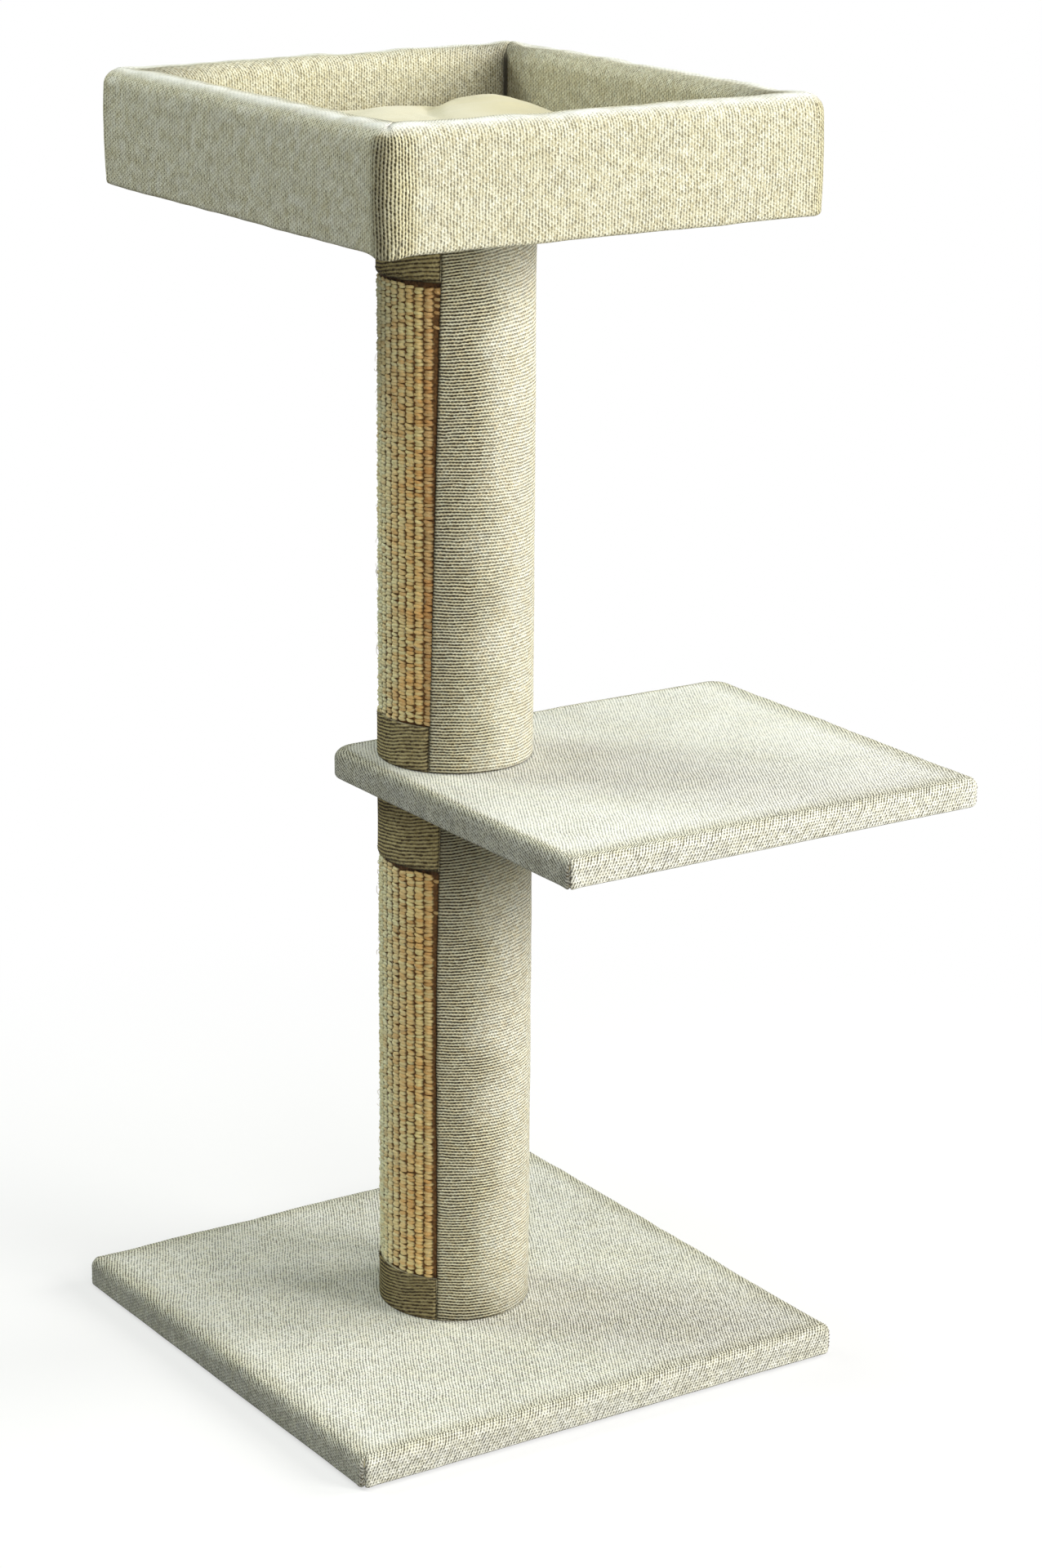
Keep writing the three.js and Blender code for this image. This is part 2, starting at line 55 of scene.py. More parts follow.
# ---------------------------------------------------------------- camera, at the photograph's place

camera_place = (-1.77932, -2.79261, 1.53782)
camera_yaw, camera_pitch, camera_roll = radians(-33.52), radians(17.08), radians(0.43)
lens_focal_pixels, long_side_pixels, sensor_width = 4765.4, 1920, 36

camera_data = bpy.data.cameras.new("photo_camera")
camera_data.sensor_width = sensor_width
camera_data.lens = lens_focal_pixels * sensor_width / long_side_pixels
camera = bpy.data.objects.new("photo_camera", camera_data)
camera.matrix_world = (Matrix.Translation(camera_place) @ Matrix.Rotation(camera_yaw, 4, "Z")
                       @ Matrix.Rotation(pi / 2 - camera_pitch, 4, "X")
                       @ Matrix.Rotation(camera_roll, 4, "Z"))
scene.collection.objects.link(camera)
scene.camera = camera


# ---------------------------------------------------------------- node trees written as expressions

def feed(tree, slot, value):
    if isinstance(value, Socket):
        tree.links.new(value.output, slot)
    elif value is not None:
        slot.default_value = value


class Socket:
    """One output of a node, which takes part in ordinary arithmetic."""

    def __init__(self, tree, output):
        self.tree = tree
        self.output = output

    def math(self, operation, *others, first=None):
        node = self.tree.nodes.new("ShaderNodeMath")
        node.operation = operation
        values = (self, *others) if first is None else (first, self)
        for slot, value in zip(node.inputs, values):
            feed(self.tree, slot, value)
        return Socket(self.tree, node.outputs[0])

    def __add__(self, other):
        return self.math("ADD", other)

    def __radd__(self, other):
        return self.math("ADD", first=other)

    def __sub__(self, other):
        return self.math("SUBTRACT", other)

    def __rsub__(self, other):
        return self.math("SUBTRACT", first=other)

    def __mul__(self, other):
        return self.math("MULTIPLY", other)

    def __rmul__(self, other):
        return self.math("MULTIPLY", first=other)

    def __truediv__(self, other):
        return self.math("DIVIDE", other)

    def __lt__(self, other):
        return self.math("LESS_THAN", other)

    def floor(self):
        return self.math("FLOOR")

    def sine(self):
        return self.math("SINE")

    def cosine(self):
        return self.math("COSINE")

    def root(self):
        return self.math("SQRT")

    def high(self, other):
        return self.math("MAXIMUM", other)

    def clipped(self):
        return self.high(0.0).math("MINIMUM", 1.0)

    def ramp(self, start, end):
        """0 below start, 1 above end, and smooth between them."""
        t = ((self - start) / (end - start)).clipped()
        return t * t * (3.0 - 2.0 * t)


class Graph:
    """A shader or geometry tree, and the one method that adds a node to it."""

    def __init__(self, tree):
        self.tree = tree

    def add(self, kind, settings=None, out=0, **inputs):
        """Settings come first, then the sockets: by name, or by place as in_0, in_1."""
        node = self.tree.nodes.new(kind)
        for name, value in (settings or {}).items():
            setattr(node, name, value)
        for name, value in inputs.items():
            key = int(name[3:]) if name.startswith("in_") else name.replace("_", " ")
            feed(self.tree, node.inputs[key], value)
        return node if out is None else Socket(self.tree, node.outputs[out])

    def vector(self, x=0.0, y=0.0, z=0.0):
        return self.add("ShaderNodeCombineXYZ", in_0=x, in_1=y, in_2=z)

    def split(self, vector):
        node = self.add("ShaderNodeSeparateXYZ", out=None, in_0=vector)
        return [Socket(self.tree, output) for output in node.outputs]

    def place(self):
        """The object's own coordinates."""
        return self.add("ShaderNodeTexCoord", out=3)

    def attribute(self, name):
        return self.add("ShaderNodeAttribute", {"attribute_name": name}, out=2)

    def noise(self, vector, scale=1.0, detail=1.0, roughness=0.5):
        return self.add("ShaderNodeTexNoise", {"noise_dimensions": "3D"}, Vector=vector, Scale=scale,
                        Detail=detail, Roughness=roughness)

    def random(self, value):
        return self.add("ShaderNodeTexWhiteNoise", {"noise_dimensions": "1D"}, in_1=value)

    def voronoi(self, feature, place, scale, out=0):
        return self.add("ShaderNodeTexVoronoi", {"feature": feature}, out, Vector=place, Scale=scale)

    def paint(self, colour, *layers):
        """Lays colours over a first one: each layer is its share, its colour and perhaps its mode."""
        for share, over, *mode in layers:
            node = self.add("ShaderNodeMix", {"data_type": "RGBA", "blend_type": (mode or ["MIX"])[0]},
                            out=None, in_0=share, in_6=colour, in_7=over)
            colour = Socket(self.tree, node.outputs[2])
        return colour

    def bump(self, height, distance, strength):
        return self.add("ShaderNodeBump", Height=height, Distance=distance, Strength=strength)

    def seen(self):
        """1 where the camera looks, also through glass or by a mirror, 0 for the light's own rays."""
        rays = self.add("ShaderNodeLightPath", out=None).outputs
        camera_ray, glossy, through = (Socket(self.tree, rays[f"Is {kind} Ray"])
                                       for kind in ("Camera", "Glossy", "Transmission"))
        return (camera_ray + glossy + through).clipped()


class Finish(Graph):
    """A material's graph, with the shader that a piece is seen by."""

    def __init__(self, name):
        self.material = bpy.data.materials.new(name)
        self.material.use_nodes = True
        super().__init__(self.material.node_tree)
        self.tree.nodes.clear()
        self.shader = self.add("ShaderNodeBsdfPrincipled", out=None)
        self.output = self.add("ShaderNodeOutputMaterial", out=None)
        self.tree.links.new(self.shader.outputs[0], self.output.inputs[0])

    def dress(self, colour, roughness, normal=None, **uniform):
        for name, value in (("Base Color", colour), ("Roughness", roughness), ("Normal", normal)):
            feed(self.tree, self.shader.inputs[name], value)
        for name, value in uniform.items():
            self.shader.inputs[name.replace("_", " ")].default_value = value
        return self.material


def rgb(red, green, blue):
    """A colour as a picture gives it, 0 to 255, in the linear values that a shader takes."""
    parts = [value / 255 for value in (red, green, blue)]
    return (*[p / 12.92 if p <= 0.04045 else ((p + 0.055) / 1.055) ** 2.4 for p in parts], 1.0)


# ---------------------------------------------------------------- finishes

def woven_cloth(name, ribs_follow, rib_pitch, hole_pitch, light, tan, gap=rgb(58, 50, 28), opening=0.5,
                dash=1.0, lines=0.3, depth=0.6, slit=0.2, lean=0.0, uneven=1.0, ribbed=0.6, tanned=0.5,
                grain=1.9, wander=1.0, relief=1.3 * MM):
    """Coarse weave: ribs with a row of small holes between each two, every other row half a step on.
    ribs_follow is the axis of the map that the ribs run along. opening is how far the holes gape,
    dash how long they are along the ribs and slit how wide across them, lean how far they slant,
    uneven how much they differ, lines how dark the troughs between the ribs are, and depth how dark
    the holes are. ribbed is the ribs' height and tanned the share of darker yarn, which changes grain
    times a hole's pitch; wander is how crooked the threads run."""
    g = Finish(name)
    u, v, _ = g.split(g.add("ShaderNodeUVMap", {"uv_map": "cloth"}))
    stretch, rubbed, crease = (g.attribute(kind) for kind in ("stretch", "rubbed", "crease"))
    drift_u = g.noise(g.vector(u * 26.0, v * 26.0, 3.1), detail=3.0) - 0.5
    drift_v = g.noise(g.vector(u * 21.0, v * 21.0, 8.7), detail=3.0) - 0.5
    u = u + drift_u * (4.0 * MM * wander)
    v = v + drift_v * (4.0 * MM * wander)
    over, along = (u, v) if ribs_follow == "v" else (v, u)
    x = over / rib_pitch
    row = x.floor()
    y = along / hole_pitch + (row * 0.5 - (row * 0.5).floor())
    place = y.floor()
    across = x - row - 0.5
    beside = y - place - 0.5
    one = g.random(row * 0.317 + place * 1.731)
    other = g.random(row * 1.137 + place * 0.713)
    rib = (x + 0.5).floor()
    loose = g.noise(g.vector(u * 240.0, v * 240.0, 2.2), detail=3.0, roughness=0.7) - 0.5
    slub = g.noise(g.vector(rib * 7.13, y * 0.55, 1.7), detail=2.0) - 0.5
    # where the cloth is stretched over an edge its holes gape; on the sleeves the same mask opens and
    # darkens the holes towards the seams as painted shade
    variety = (one - 0.5) * 0.9 + loose * 0.6 - slub * 0.9
    gape = opening + variety * uneven * (1.0 - stretch * 0.6) + stretch * 0.26
    hole_x = (across + (other - 0.5) * 0.14 * uneven) / slit
    hole_y = (beside - across * lean + (one - 0.5) * 0.18 * uneven) / (0.27 * dash)
    hole = (gape * 1.6 - (hole_x * hole_x + hole_y * hole_y).root()).ramp(-0.5, 0.6)
    ridge = 0.5 - (across * tau).cosine() * 0.5
    bridge = 0.5 - (beside * tau).cosine() * 0.5
    height = ridge * (ribbed + slub * 0.5) + bridge * (1.0 - ridge * 0.6) * 0.45 - hole * 0.45
    rib_tone = g.noise(g.vector(rib * 3.91, y * grain, 12.3), detail=2.0, roughness=0.7)
    bridge_tone = (other * 1.4 - 0.5).clipped() * (1.0 - ridge)
    cloudy = g.noise(g.vector(u * 9.0, v * 9.0, 5.0), detail=3.0)
    warmth = g.noise(g.vector(u * 45.0, v * 45.0, 9.3), detail=2.0)
    # the troughs between the ribs and the holes take the gap colour: painted shade in the weave's
    # recesses
    trough = (1.0 - ridge) * (1.0 - ridge) * (lines + loose * 0.45 + stretch * 0.4).clipped()
    # the pale layer fills the holes and pales the cloth: painted light on the tops of the slabs and on
    # the tray's rim, and random paler patches on the tray's left wall. The dark layer is painted shade
    # in slits, folds, corners, along the sleeves' edges and feet, under the tier above and on the left
    # sides, with an even grey on one band and a grey that fades up from a sleeve's foot
    colour = g.paint(
        light,
        (rib_tone.ramp(0.38, 0.64) * tanned, tan),
        (bridge_tone * (tanned + 0.2), tan),
        (warmth.ramp(0.35, 0.65), rgb(255, 254, 250), "MULTIPLY"),
        ((cloudy - 0.45).clipped() * 0.3, rgb(228, 226, 202), "MULTIPLY"),
        (stretch * 0.35, rgb(246, 238, 190), "MULTIPLY"),
        (trough.high(hole * (depth + stretch * (0.95 - depth))), gap),
        (rubbed * 0.85, rgb(255, 255, 250)),
        (crease * 0.92, rgb(40, 31, 16)))
    fuzz = g.noise(g.vector(u * 2600.0, v * 2600.0, 0.4), detail=2.0)
    return g.dress(colour, 0.86 + (fuzz - 0.5) * 0.1,
                   g.bump(height * (1.0 - rubbed * 0.7) + fuzz * 0.1, relief, 1.0),
                   Specular_IOR_Level=0.2, Sheen_Weight=0.06, Sheen_Roughness=0.5)


def cushion_cloth():
    """Smooth brushed cream cotton with a faint nap."""
    g = Finish("cushion_cloth")
    place = g.place()
    x, y, z = g.split(place)
    nap = g.noise(place, scale=900.0, detail=3.0)
    cloud = g.noise(place, scale=16.0, detail=3.0)
    twill = ((x + y + z) * (tau / (0.9 * MM))).sine()
    far_side = (x * 0.85 + y * 0.52).ramp(0.0, 0.05)
    colour = g.paint(
        rgb(228, 222, 192),
        (cloud.ramp(0.35, 0.7) * 0.35, rgb(214, 204, 162)),
        (far_side * 0.5, rgb(208, 197, 148)),
        ((nap - 0.45).clipped() * 0.4, rgb(184, 168, 122)))
    return g.dress(colour, 0.8 + (nap - 0.5) * 0.15, g.bump(nap + twill * 0.18, 0.22 * MM, 0.6),
                   Specular_IOR_Level=0.3, Sheen_Weight=0.25, Sheen_Roughness=0.4)


def sisal_yarn():
    """Coarse golden sisal: every loop has its own tone. Across the strip it is pale on the open side,
    which is painted light, and golden towards the sleeve's edge, where its red brown is painted shade."""
    g = Finish("sisal")
    place = g.place()
    x, y, z = g.split(place)
    tone, crown, sheltered = (g.attribute(kind) for kind in ("tone", "crown", "sheltered"))
    fibre = g.noise(g.vector(x * 1300.0, y * 1300.0, z * 2600.0), detail=3.0, roughness=0.7)
    patch = g.noise(place, scale=24.0, detail=2.0)
    mixed = (tone * 0.9 + (patch - 0.5) * 1.3).clipped()
    golden = g.paint(rgb(255, 240, 172), (mixed, rgb(255, 204, 122)))
    colour = g.paint(
        rgb(255, 255, 220),
        (mixed, rgb(255, 240, 184)),
        # pale on the open side as painted light, red brown by the sleeve's edge as painted shade
        (sheltered.ramp(0.25, 0.9), golden),
        (sheltered.ramp(0.85, 1.0) * 0.5, rgb(196, 126, 68)),
        (fibre.ramp(0.50, 0.72) * 0.7, rgb(255, 246, 212)),
        ((1.0 - fibre).ramp(0.52, 0.76) * 0.35, rgb(150, 108, 58)),
        (tone.ramp(0.75, 0.95) * 0.2, rgb(178, 116, 60)),
        # the low ends of each loop, between the beads, are darkened: painted shade
        ((1.0 - crown).ramp(0.45, 0.95) * 0.85, rgb(84, 52, 24)))
    return g.dress(colour, 0.82 + (fibre - 0.5) * 0.2, g.bump(fibre, 0.6 * MM, 0.9),
                   Specular_IOR_Level=0.3)


def sisal_ground():
    g = Finish("sisal_ground")
    grain = g.noise(g.place(), scale=420.0, detail=4.0)
    colour = g.paint(rgb(92, 62, 30), (grain.ramp(0.35, 0.7), rgb(140, 100, 56)))
    return g.dress(colour, 0.9, g.bump(grain, 0.6 * MM, 0.7))


def sewing_thread(name, light, dark):
    g = Finish(name)
    place = g.place()
    x, y, z = g.split(place)
    ply = ((x + y + z * 1.6) * (tau / (0.55 * MM))).sine()
    fluff = g.noise(place, scale=1400.0, detail=2.0)
    colour = g.paint(light, ((ply * 0.5 + 0.5) * 0.5 + fluff * 0.3, dark))
    return g.dress(colour, 0.7 + (fluff - 0.5) * 0.2, g.bump(ply, 0.15 * MM, 0.5))


def needled_felt(name, light, dark):
    """Dark needled felt: fine fibres lying every way over soft patches."""
    g = Finish(name)
    place = g.place()
    x, y, z = g.split(place)
    one_way = g.noise(g.vector(x * 900.0, y * 180.0, z * 300.0), detail=3.0, roughness=0.7)
    other_way = g.noise(g.vector(x * 160.0, y * 820.0, z * 300.0), detail=3.0, roughness=0.7)
    patch = g.noise(place, scale=35.0, detail=3.0)
    fibres = one_way * 0.5 + other_way * 0.5
    colour = g.paint(dark, ((fibres * 0.8 + patch * 0.4 - 0.1).ramp(0.35, 0.75), light))
    return g.dress(colour, 0.93 + (patch - 0.5) * 0.08, g.bump(fibres, 0.7 * MM, 0.7),
                   Sheen_Weight=0.1)


def cell_foam():
    g = Finish("foam")
    place = g.place()
    cells = g.voronoi("DISTANCE_TO_EDGE", place, 650.0)
    yellowing = g.noise(place, scale=12.0, detail=3.0)
    colour = g.paint(rgb(244, 238, 212), (cells.ramp(0.0, 0.12), rgb(206, 194, 150)),
                     (yellowing.ramp(0.4, 0.8) * 0.35, rgb(222, 196, 126)))
    return g.dress(colour, 0.88 + (yellowing - 0.5) * 0.1, g.bump(cells, 0.6 * MM, 0.8))


def chip_board():
    """Raw particle board: flat chips of several browns with dark glue specks."""
    g = Finish("board")
    place = g.place()
    chip_tone = g.split(g.voronoi("F1", place, 210.0, out=1))[0]
    grain = g.noise(place, scale=260.0, detail=4.0, roughness=0.65)
    specks = g.noise(place, scale=900.0, detail=2.0)
    colour = g.paint(rgb(206, 168, 116), (chip_tone, rgb(160, 118, 72)),
                     (grain.ramp(0.4, 0.75) * 0.5, rgb(226, 196, 150)),
                     (specks.ramp(0.66, 0.78) * 0.8, rgb(74, 48, 28)))
    return g.dress(colour, 0.78 + (grain - 0.5) * 0.2, g.bump(grain + chip_tone * 0.4, 0.3 * MM, 0.6))


def wound_paper():
    """Kraft paper wound in a spiral, with the joint of each turn showing as a dark line."""
    g = Finish("paper_tube")
    x, y, z = g.split(g.place())
    turns = z / 0.095 + y.math("ARCTAN2", x) / tau
    joint = (turns - turns.floor() - 0.5).math("ABSOLUTE").ramp(0.485, 0.5)
    pulp = g.noise(g.vector(x * 320.0, y * 320.0, z * 90.0), detail=4.0)
    colour = g.paint(rgb(176, 140, 98), (pulp.ramp(0.35, 0.7), rgb(148, 112, 74)),
                     (joint * 0.8, rgb(84, 58, 34)))
    return g.dress(colour, 0.72 + (pulp - 0.5) * 0.2, g.bump(pulp - joint, 0.3 * MM, 0.5))


def zinc_steel():
    g = Finish("steel")
    place = g.place()
    x, y, z = g.split(place)
    spangle = g.voronoi("F1", place, 700.0)
    drawn = g.noise(g.vector(x * 2400, y * 2400, z * 300), detail=3.0)
    colour = g.paint(rgb(206, 208, 212), (spangle.ramp(0.1, 0.6), rgb(168, 172, 178)))
    return g.dress(colour, 0.32 + drawn * 0.2, g.bump(drawn, 0.1 * MM, 0.4), Metallic=1.0)


cloth_down = woven_cloth("cloth_tray", "v", 2.95 * MM, 3.43 * MM, rgb(242, 240, 218), rgb(202, 194, 162),
                         dash=1.3, depth=0.5, lines=0.2, lean=0.25, ribbed=0.34, tanned=0.9)
cloth_flat = woven_cloth("cloth_slabs", "u", 2.75 * MM, 2.98 * MM, rgb(255, 255, 246),
                         rgb(218, 214, 186),
                         dash=0.74, depth=0.8, lines=0.12, slit=0.56, lean=0.5, uneven=0.6, ribbed=0.4)
cloth_round = woven_cloth("cloth_sleeves", "u", 2.77 * MM, 3.15 * MM, rgb(255, 255, 238),
                          rgb(238, 220, 178), rgb(40, 22, 8), opening=0.46, dash=2.1, lines=0.26,
                          depth=0.4, slit=0.18, grain=1.2, wander=1.4, relief=2.2 * MM)
cloth_coarse = woven_cloth("cloth_patches", "u", 3.1 * MM, 3.9 * MM, rgb(216, 202, 152),
                           rgb(146, 126, 80), rgb(62, 46, 24), dash=2.4, lines=0.7, depth=0.9,
                           grain=1.2, wander=1.8, relief=2.2 * MM)
cream, sisal, sisal_back, steel = cushion_cloth(), sisal_yarn(), sisal_ground(), zinc_steel()
dark_thread = sewing_thread("seam_thread", rgb(112, 96, 62), rgb(52, 42, 24))
pale_thread = sewing_thread("loose_yarn", rgb(238, 228, 196), rgb(168, 146, 104))
slot_finish = {
    "cloth": cloth_flat,
    "underlay_felt": needled_felt("underlay_felt", rgb(74, 72, 68), rgb(30, 29, 28)),
    "cushion_cloth": cream,
    "sisal": sisal,
    "foam": cell_foam(),
    "board": chip_board(),
    "paper_tube": wound_paper(),
    "steel": steel,
}
for part in frame["record"]["subparts"]:
    skin = nodes[part["node"]].data.materials
    skin.clear()
    skin.append(slot_finish[part["material_slot"]])


# ---------------------------------------------------------------- mesh helpers

CLOTH = 1.5 * MM              # the cloth's thickness


def soft_noise(points, wavelength, seed):
    """Smooth noise from about -1 to 1 at each point of an array."""
    offset = Vector((seed * 17.3, seed * 5.9, seed * 11.1))
    flat = points.reshape(-1, 3) / wavelength
    return np.array([noise.noise(Vector(p) + offset) for p in flat]).reshape(points.shape[:-1])


def smoothstep(low, high, value):
    t = np.clip((value - low) / (high - low), 0, 1)
    return t * t * (3 - 2 * t)


def bell(value, width, centre=0.0, power=2):
    """1 where value is at the centre, falling off both ways within about the width."""
    return np.exp(-(np.abs(value - centre) / width) ** power)


def at_height(flat, z):
    return np.column_stack([flat, np.full(len(flat), z)])


def between(first, last, share):
    return first * (1 - share) + last * share


def make_piece(name, vertices, faces, finish, uv=None, attributes=None):
    mesh = bpy.data.meshes.new(name)
    mesh.from_pydata(vertices, [], faces)
    if uv is not None:
        layer = mesh.uv_layers.new(name="cloth")
        layer.data.foreach_set("uv", np.asarray(uv, np.float32).ravel())
    for key, values in (attributes or {}).items():
        attribute = mesh.attributes.new(key, "FLOAT", "POINT")
        attribute.data.foreach_set("value", np.asarray(values, np.float32).ravel())
    mesh.materials.append(finish)
    mesh.shade_smooth()
    mesh.update()
    piece = bpy.data.objects.new(name, mesh)
    scene.collection.objects.link(piece)
    return piece


def grid_faces(rows, columns, close_rows=True):
    """Quads of a grid of points that closes on itself along each row, and perhaps down the columns."""
    quads = []
    for i in range(rows if close_rows else rows - 1):
        here, below = i * columns, (i + 1) % rows * columns
        for j in range(columns):
            right = (j + 1) % columns
            quads.append((here + j, here + right, below + right, below + j))
    return quads


def plate_faces(rows, columns):
    """Faces of a closed plate, whose rows each hold the outer points and then the inner ones back."""
    across = 2 * columns
    faces = grid_faces(rows, across, close_rows=False)
    last = (rows - 1) * across
    for j in range(columns - 1):
        k = across - 1 - j
        faces.append((j, j + 1, k - 1, k))
        faces.append((last + j, last + k, last + k - 1, last + j + 1))
    return faces


def outwards(vertices, faces):
    """The faces, turned if they bound a negative volume."""
    a, b, c, d = (vertices[np.array(faces)[:, k]] for k in range(4))
    volume = np.einsum("ij,ij->", a, np.cross(b, c)) + np.einsum("ij,ij->", a, np.cross(c, d))
    return faces if volume > 0 else [tuple(reversed(f)) for f in faces]


def sheet(name, grid, material, chart, attributes):
    """The piece of a grid that closes both ways; chart gives a face's four places on the flat cloth."""
    rows, columns = grid.shape[:2]
    faces = grid_faces(rows, columns)
    vertices = grid.reshape(-1, 3)
    turned = outwards(vertices, faces)
    uv = []
    for i in range(rows):
        for j in range(columns):
            corners = chart(i, (i + 1) % rows, j, (j + 1) % columns)
            uv.extend(corners if turned is faces else reversed(corners))
    return make_piece(name, vertices, turned, material, uv, attributes)


def face_places(chart, i, below, j, right):
    return [chart[i, j], chart[i, right], chart[below, right], chart[below, j]]


def surface_normals(grid):
    """Outward direction at each point of a grid that closes both ways."""
    along = np.roll(grid, -1, axis=1) - np.roll(grid, 1, axis=1)
    down = np.roll(grid, -1, axis=0) - np.roll(grid, 1, axis=0)
    normal = np.cross(along, down)
    return normal / np.maximum(np.linalg.norm(normal, axis=2, keepdims=True), 1e-12)


class Plan:
    """A rounded rectangle seen from above, walked anticlockwise from the corner at +X -Y. Side k, which
    follows corner k, is the right, back, left or front one."""

    CORNERS = ((1, -1), (1, 1), (-1, 1), (-1, -1))
    OUTWARD = np.array(((1, 0), (0, 1), (-1, 0), (0, -1)))
    ONWARD = np.array(((0, 1), (-1, 0), (0, -1), (1, 0)))
    SPACING = 5 * MM
    CORNER_STEPS = 18

    def __init__(self, low, high, radii):
        self.low, self.high, self.radii = low, high, radii
        self.places = []
        for k in range(4):
            self.places += [("corner", k, s / self.CORNER_STEPS) for s in range(self.CORNER_STEPS + 1)]
            length = (high.y - low.y) if k % 2 == 0 else (high.x - low.x)
            count = int(length / self.SPACING)
            self.places += [("side", k, s / count) for s in range(1, count)]
        outer = self.ring(0)
        steps = np.linalg.norm(np.roll(outer, -1, axis=0) - outer, axis=1)
        self.arc = np.concatenate([[0], np.cumsum(steps)[:-1]])
        self.around = steps.sum()
        # a column of faces belongs to the side whose cloth it is folded from, split at each corner
        self.side = np.array([
            k if kind == "side" or t >= 0.499 else (k - 1) % 4 for kind, k, t in self.places])
        self.corner_middle = [self.arc[self.places.index(("corner", k, 0.5))] for k in range(4)]

    def corner_circle(self, k, inset):
        sx, sy = self.CORNERS[k]
        radius = max(self.radii[k] - inset, 0.4 * MM)
        edge_x = self.high.x if sx > 0 else self.low.x
        edge_y = self.high.y if sy > 0 else self.low.y
        return edge_x - sx * (inset + radius), edge_y - sy * (inset + radius), radius

    def corner_point(self, k, share, inset):
        x, y, radius = self.corner_circle(k, inset)
        angle = radians(-90 + 90 * k + 90 * share)
        return np.array([x + radius * cos(angle), y + radius * sin(angle)])

    def ring(self, inset):
        return np.array([
            self.corner_point(k, t, inset) if kind == "corner" else
            between(self.corner_point(k, 1, inset), self.corner_point((k + 1) % 4, 0, inset), t)
            for kind, k, t in self.places])

    def sheet(self, outer, flat_shares, under_shares, inner, hole):
        """A sheet's grid of points: the outer section, rings from its end to the hole by the shares,
        rings back under them, and the inner section. A section is a list of insets and heights."""
        edge_inset, z = outer[-1]
        edge = self.ring(edge_inset)
        to_hole = edge / np.linalg.norm(edge, axis=1, keepdims=True) * hole
        rings = [at_height(self.ring(inset), height) for inset, height in outer]
        rings += [at_height(between(edge, to_hole, t), z) for t in flat_shares]
        rings += [at_height(between(edge, to_hole, t), z - CLOTH) for t in under_shares]
        rings += [at_height(self.ring(inset), height) for inset, height in inner[::-1]]
        return np.array(rings)

    def corner_distance(self, k):
        """Distance round the outline from each column to the middle of corner k, as a row."""
        gap = np.abs(self.arc - self.corner_middle[k])
        return np.minimum(gap, self.around - gap)[None, :]

    def unrolled(self, k, run):
        """The flat cloth's map on side k: run is the length down from the edge of the top."""
        along = self.arc - self.arc[self.places.index(("corner", k, 1.0))]
        along = (along + self.around / 2) % self.around - self.around / 2
        return (self.corner_point(k, 1, 0) + run[:, None, None] * self.OUTWARD[k]
                + along[None, :, None] * self.ONWARD[k])


def quarter(inset, z, radius, start, end, steps):
    """Points of a quarter round about (inset + radius, z), as the plan's inset and the height."""
    turns = [radians(start + (end - start) * s / steps) for s in range(steps + 1)]
    return [(inset - radius * cos(t), z + radius * sin(t)) for t in turns]


def straight(first, last, steps):
    """Points from first up to but not with last."""
    return [tuple(a + (b - a) * s / steps for a, b in zip(first, last)) for s in range(steps)]


def run_lengths(section):
    """Length along a section from its first point to each point."""
    return np.concatenate([[0], np.cumsum(np.linalg.norm(np.diff(section, axis=0), axis=1))])


# ---------------------------------------------------------------- cloth over a slab: base and platform

HEM = 38 * MM
POST_CLEAR = 76 * MM          # the slabs stay flat this near to the post's axis,
POST_FADE = 115 * MM          # and have their full unevenness from here on
SOFT_EDGE = 9 * MM
STUD_HOLE = 5.6 * MM
TOP_RINGS = 22
SLIT_DARKEST = 1.6 * MM       # a fold this deep looks fully dark
BASE_RADII = [9 * MM] * 4
PLATFORM_RADII = [13 * MM, 23 * MM, 27 * MM, 5 * MM]


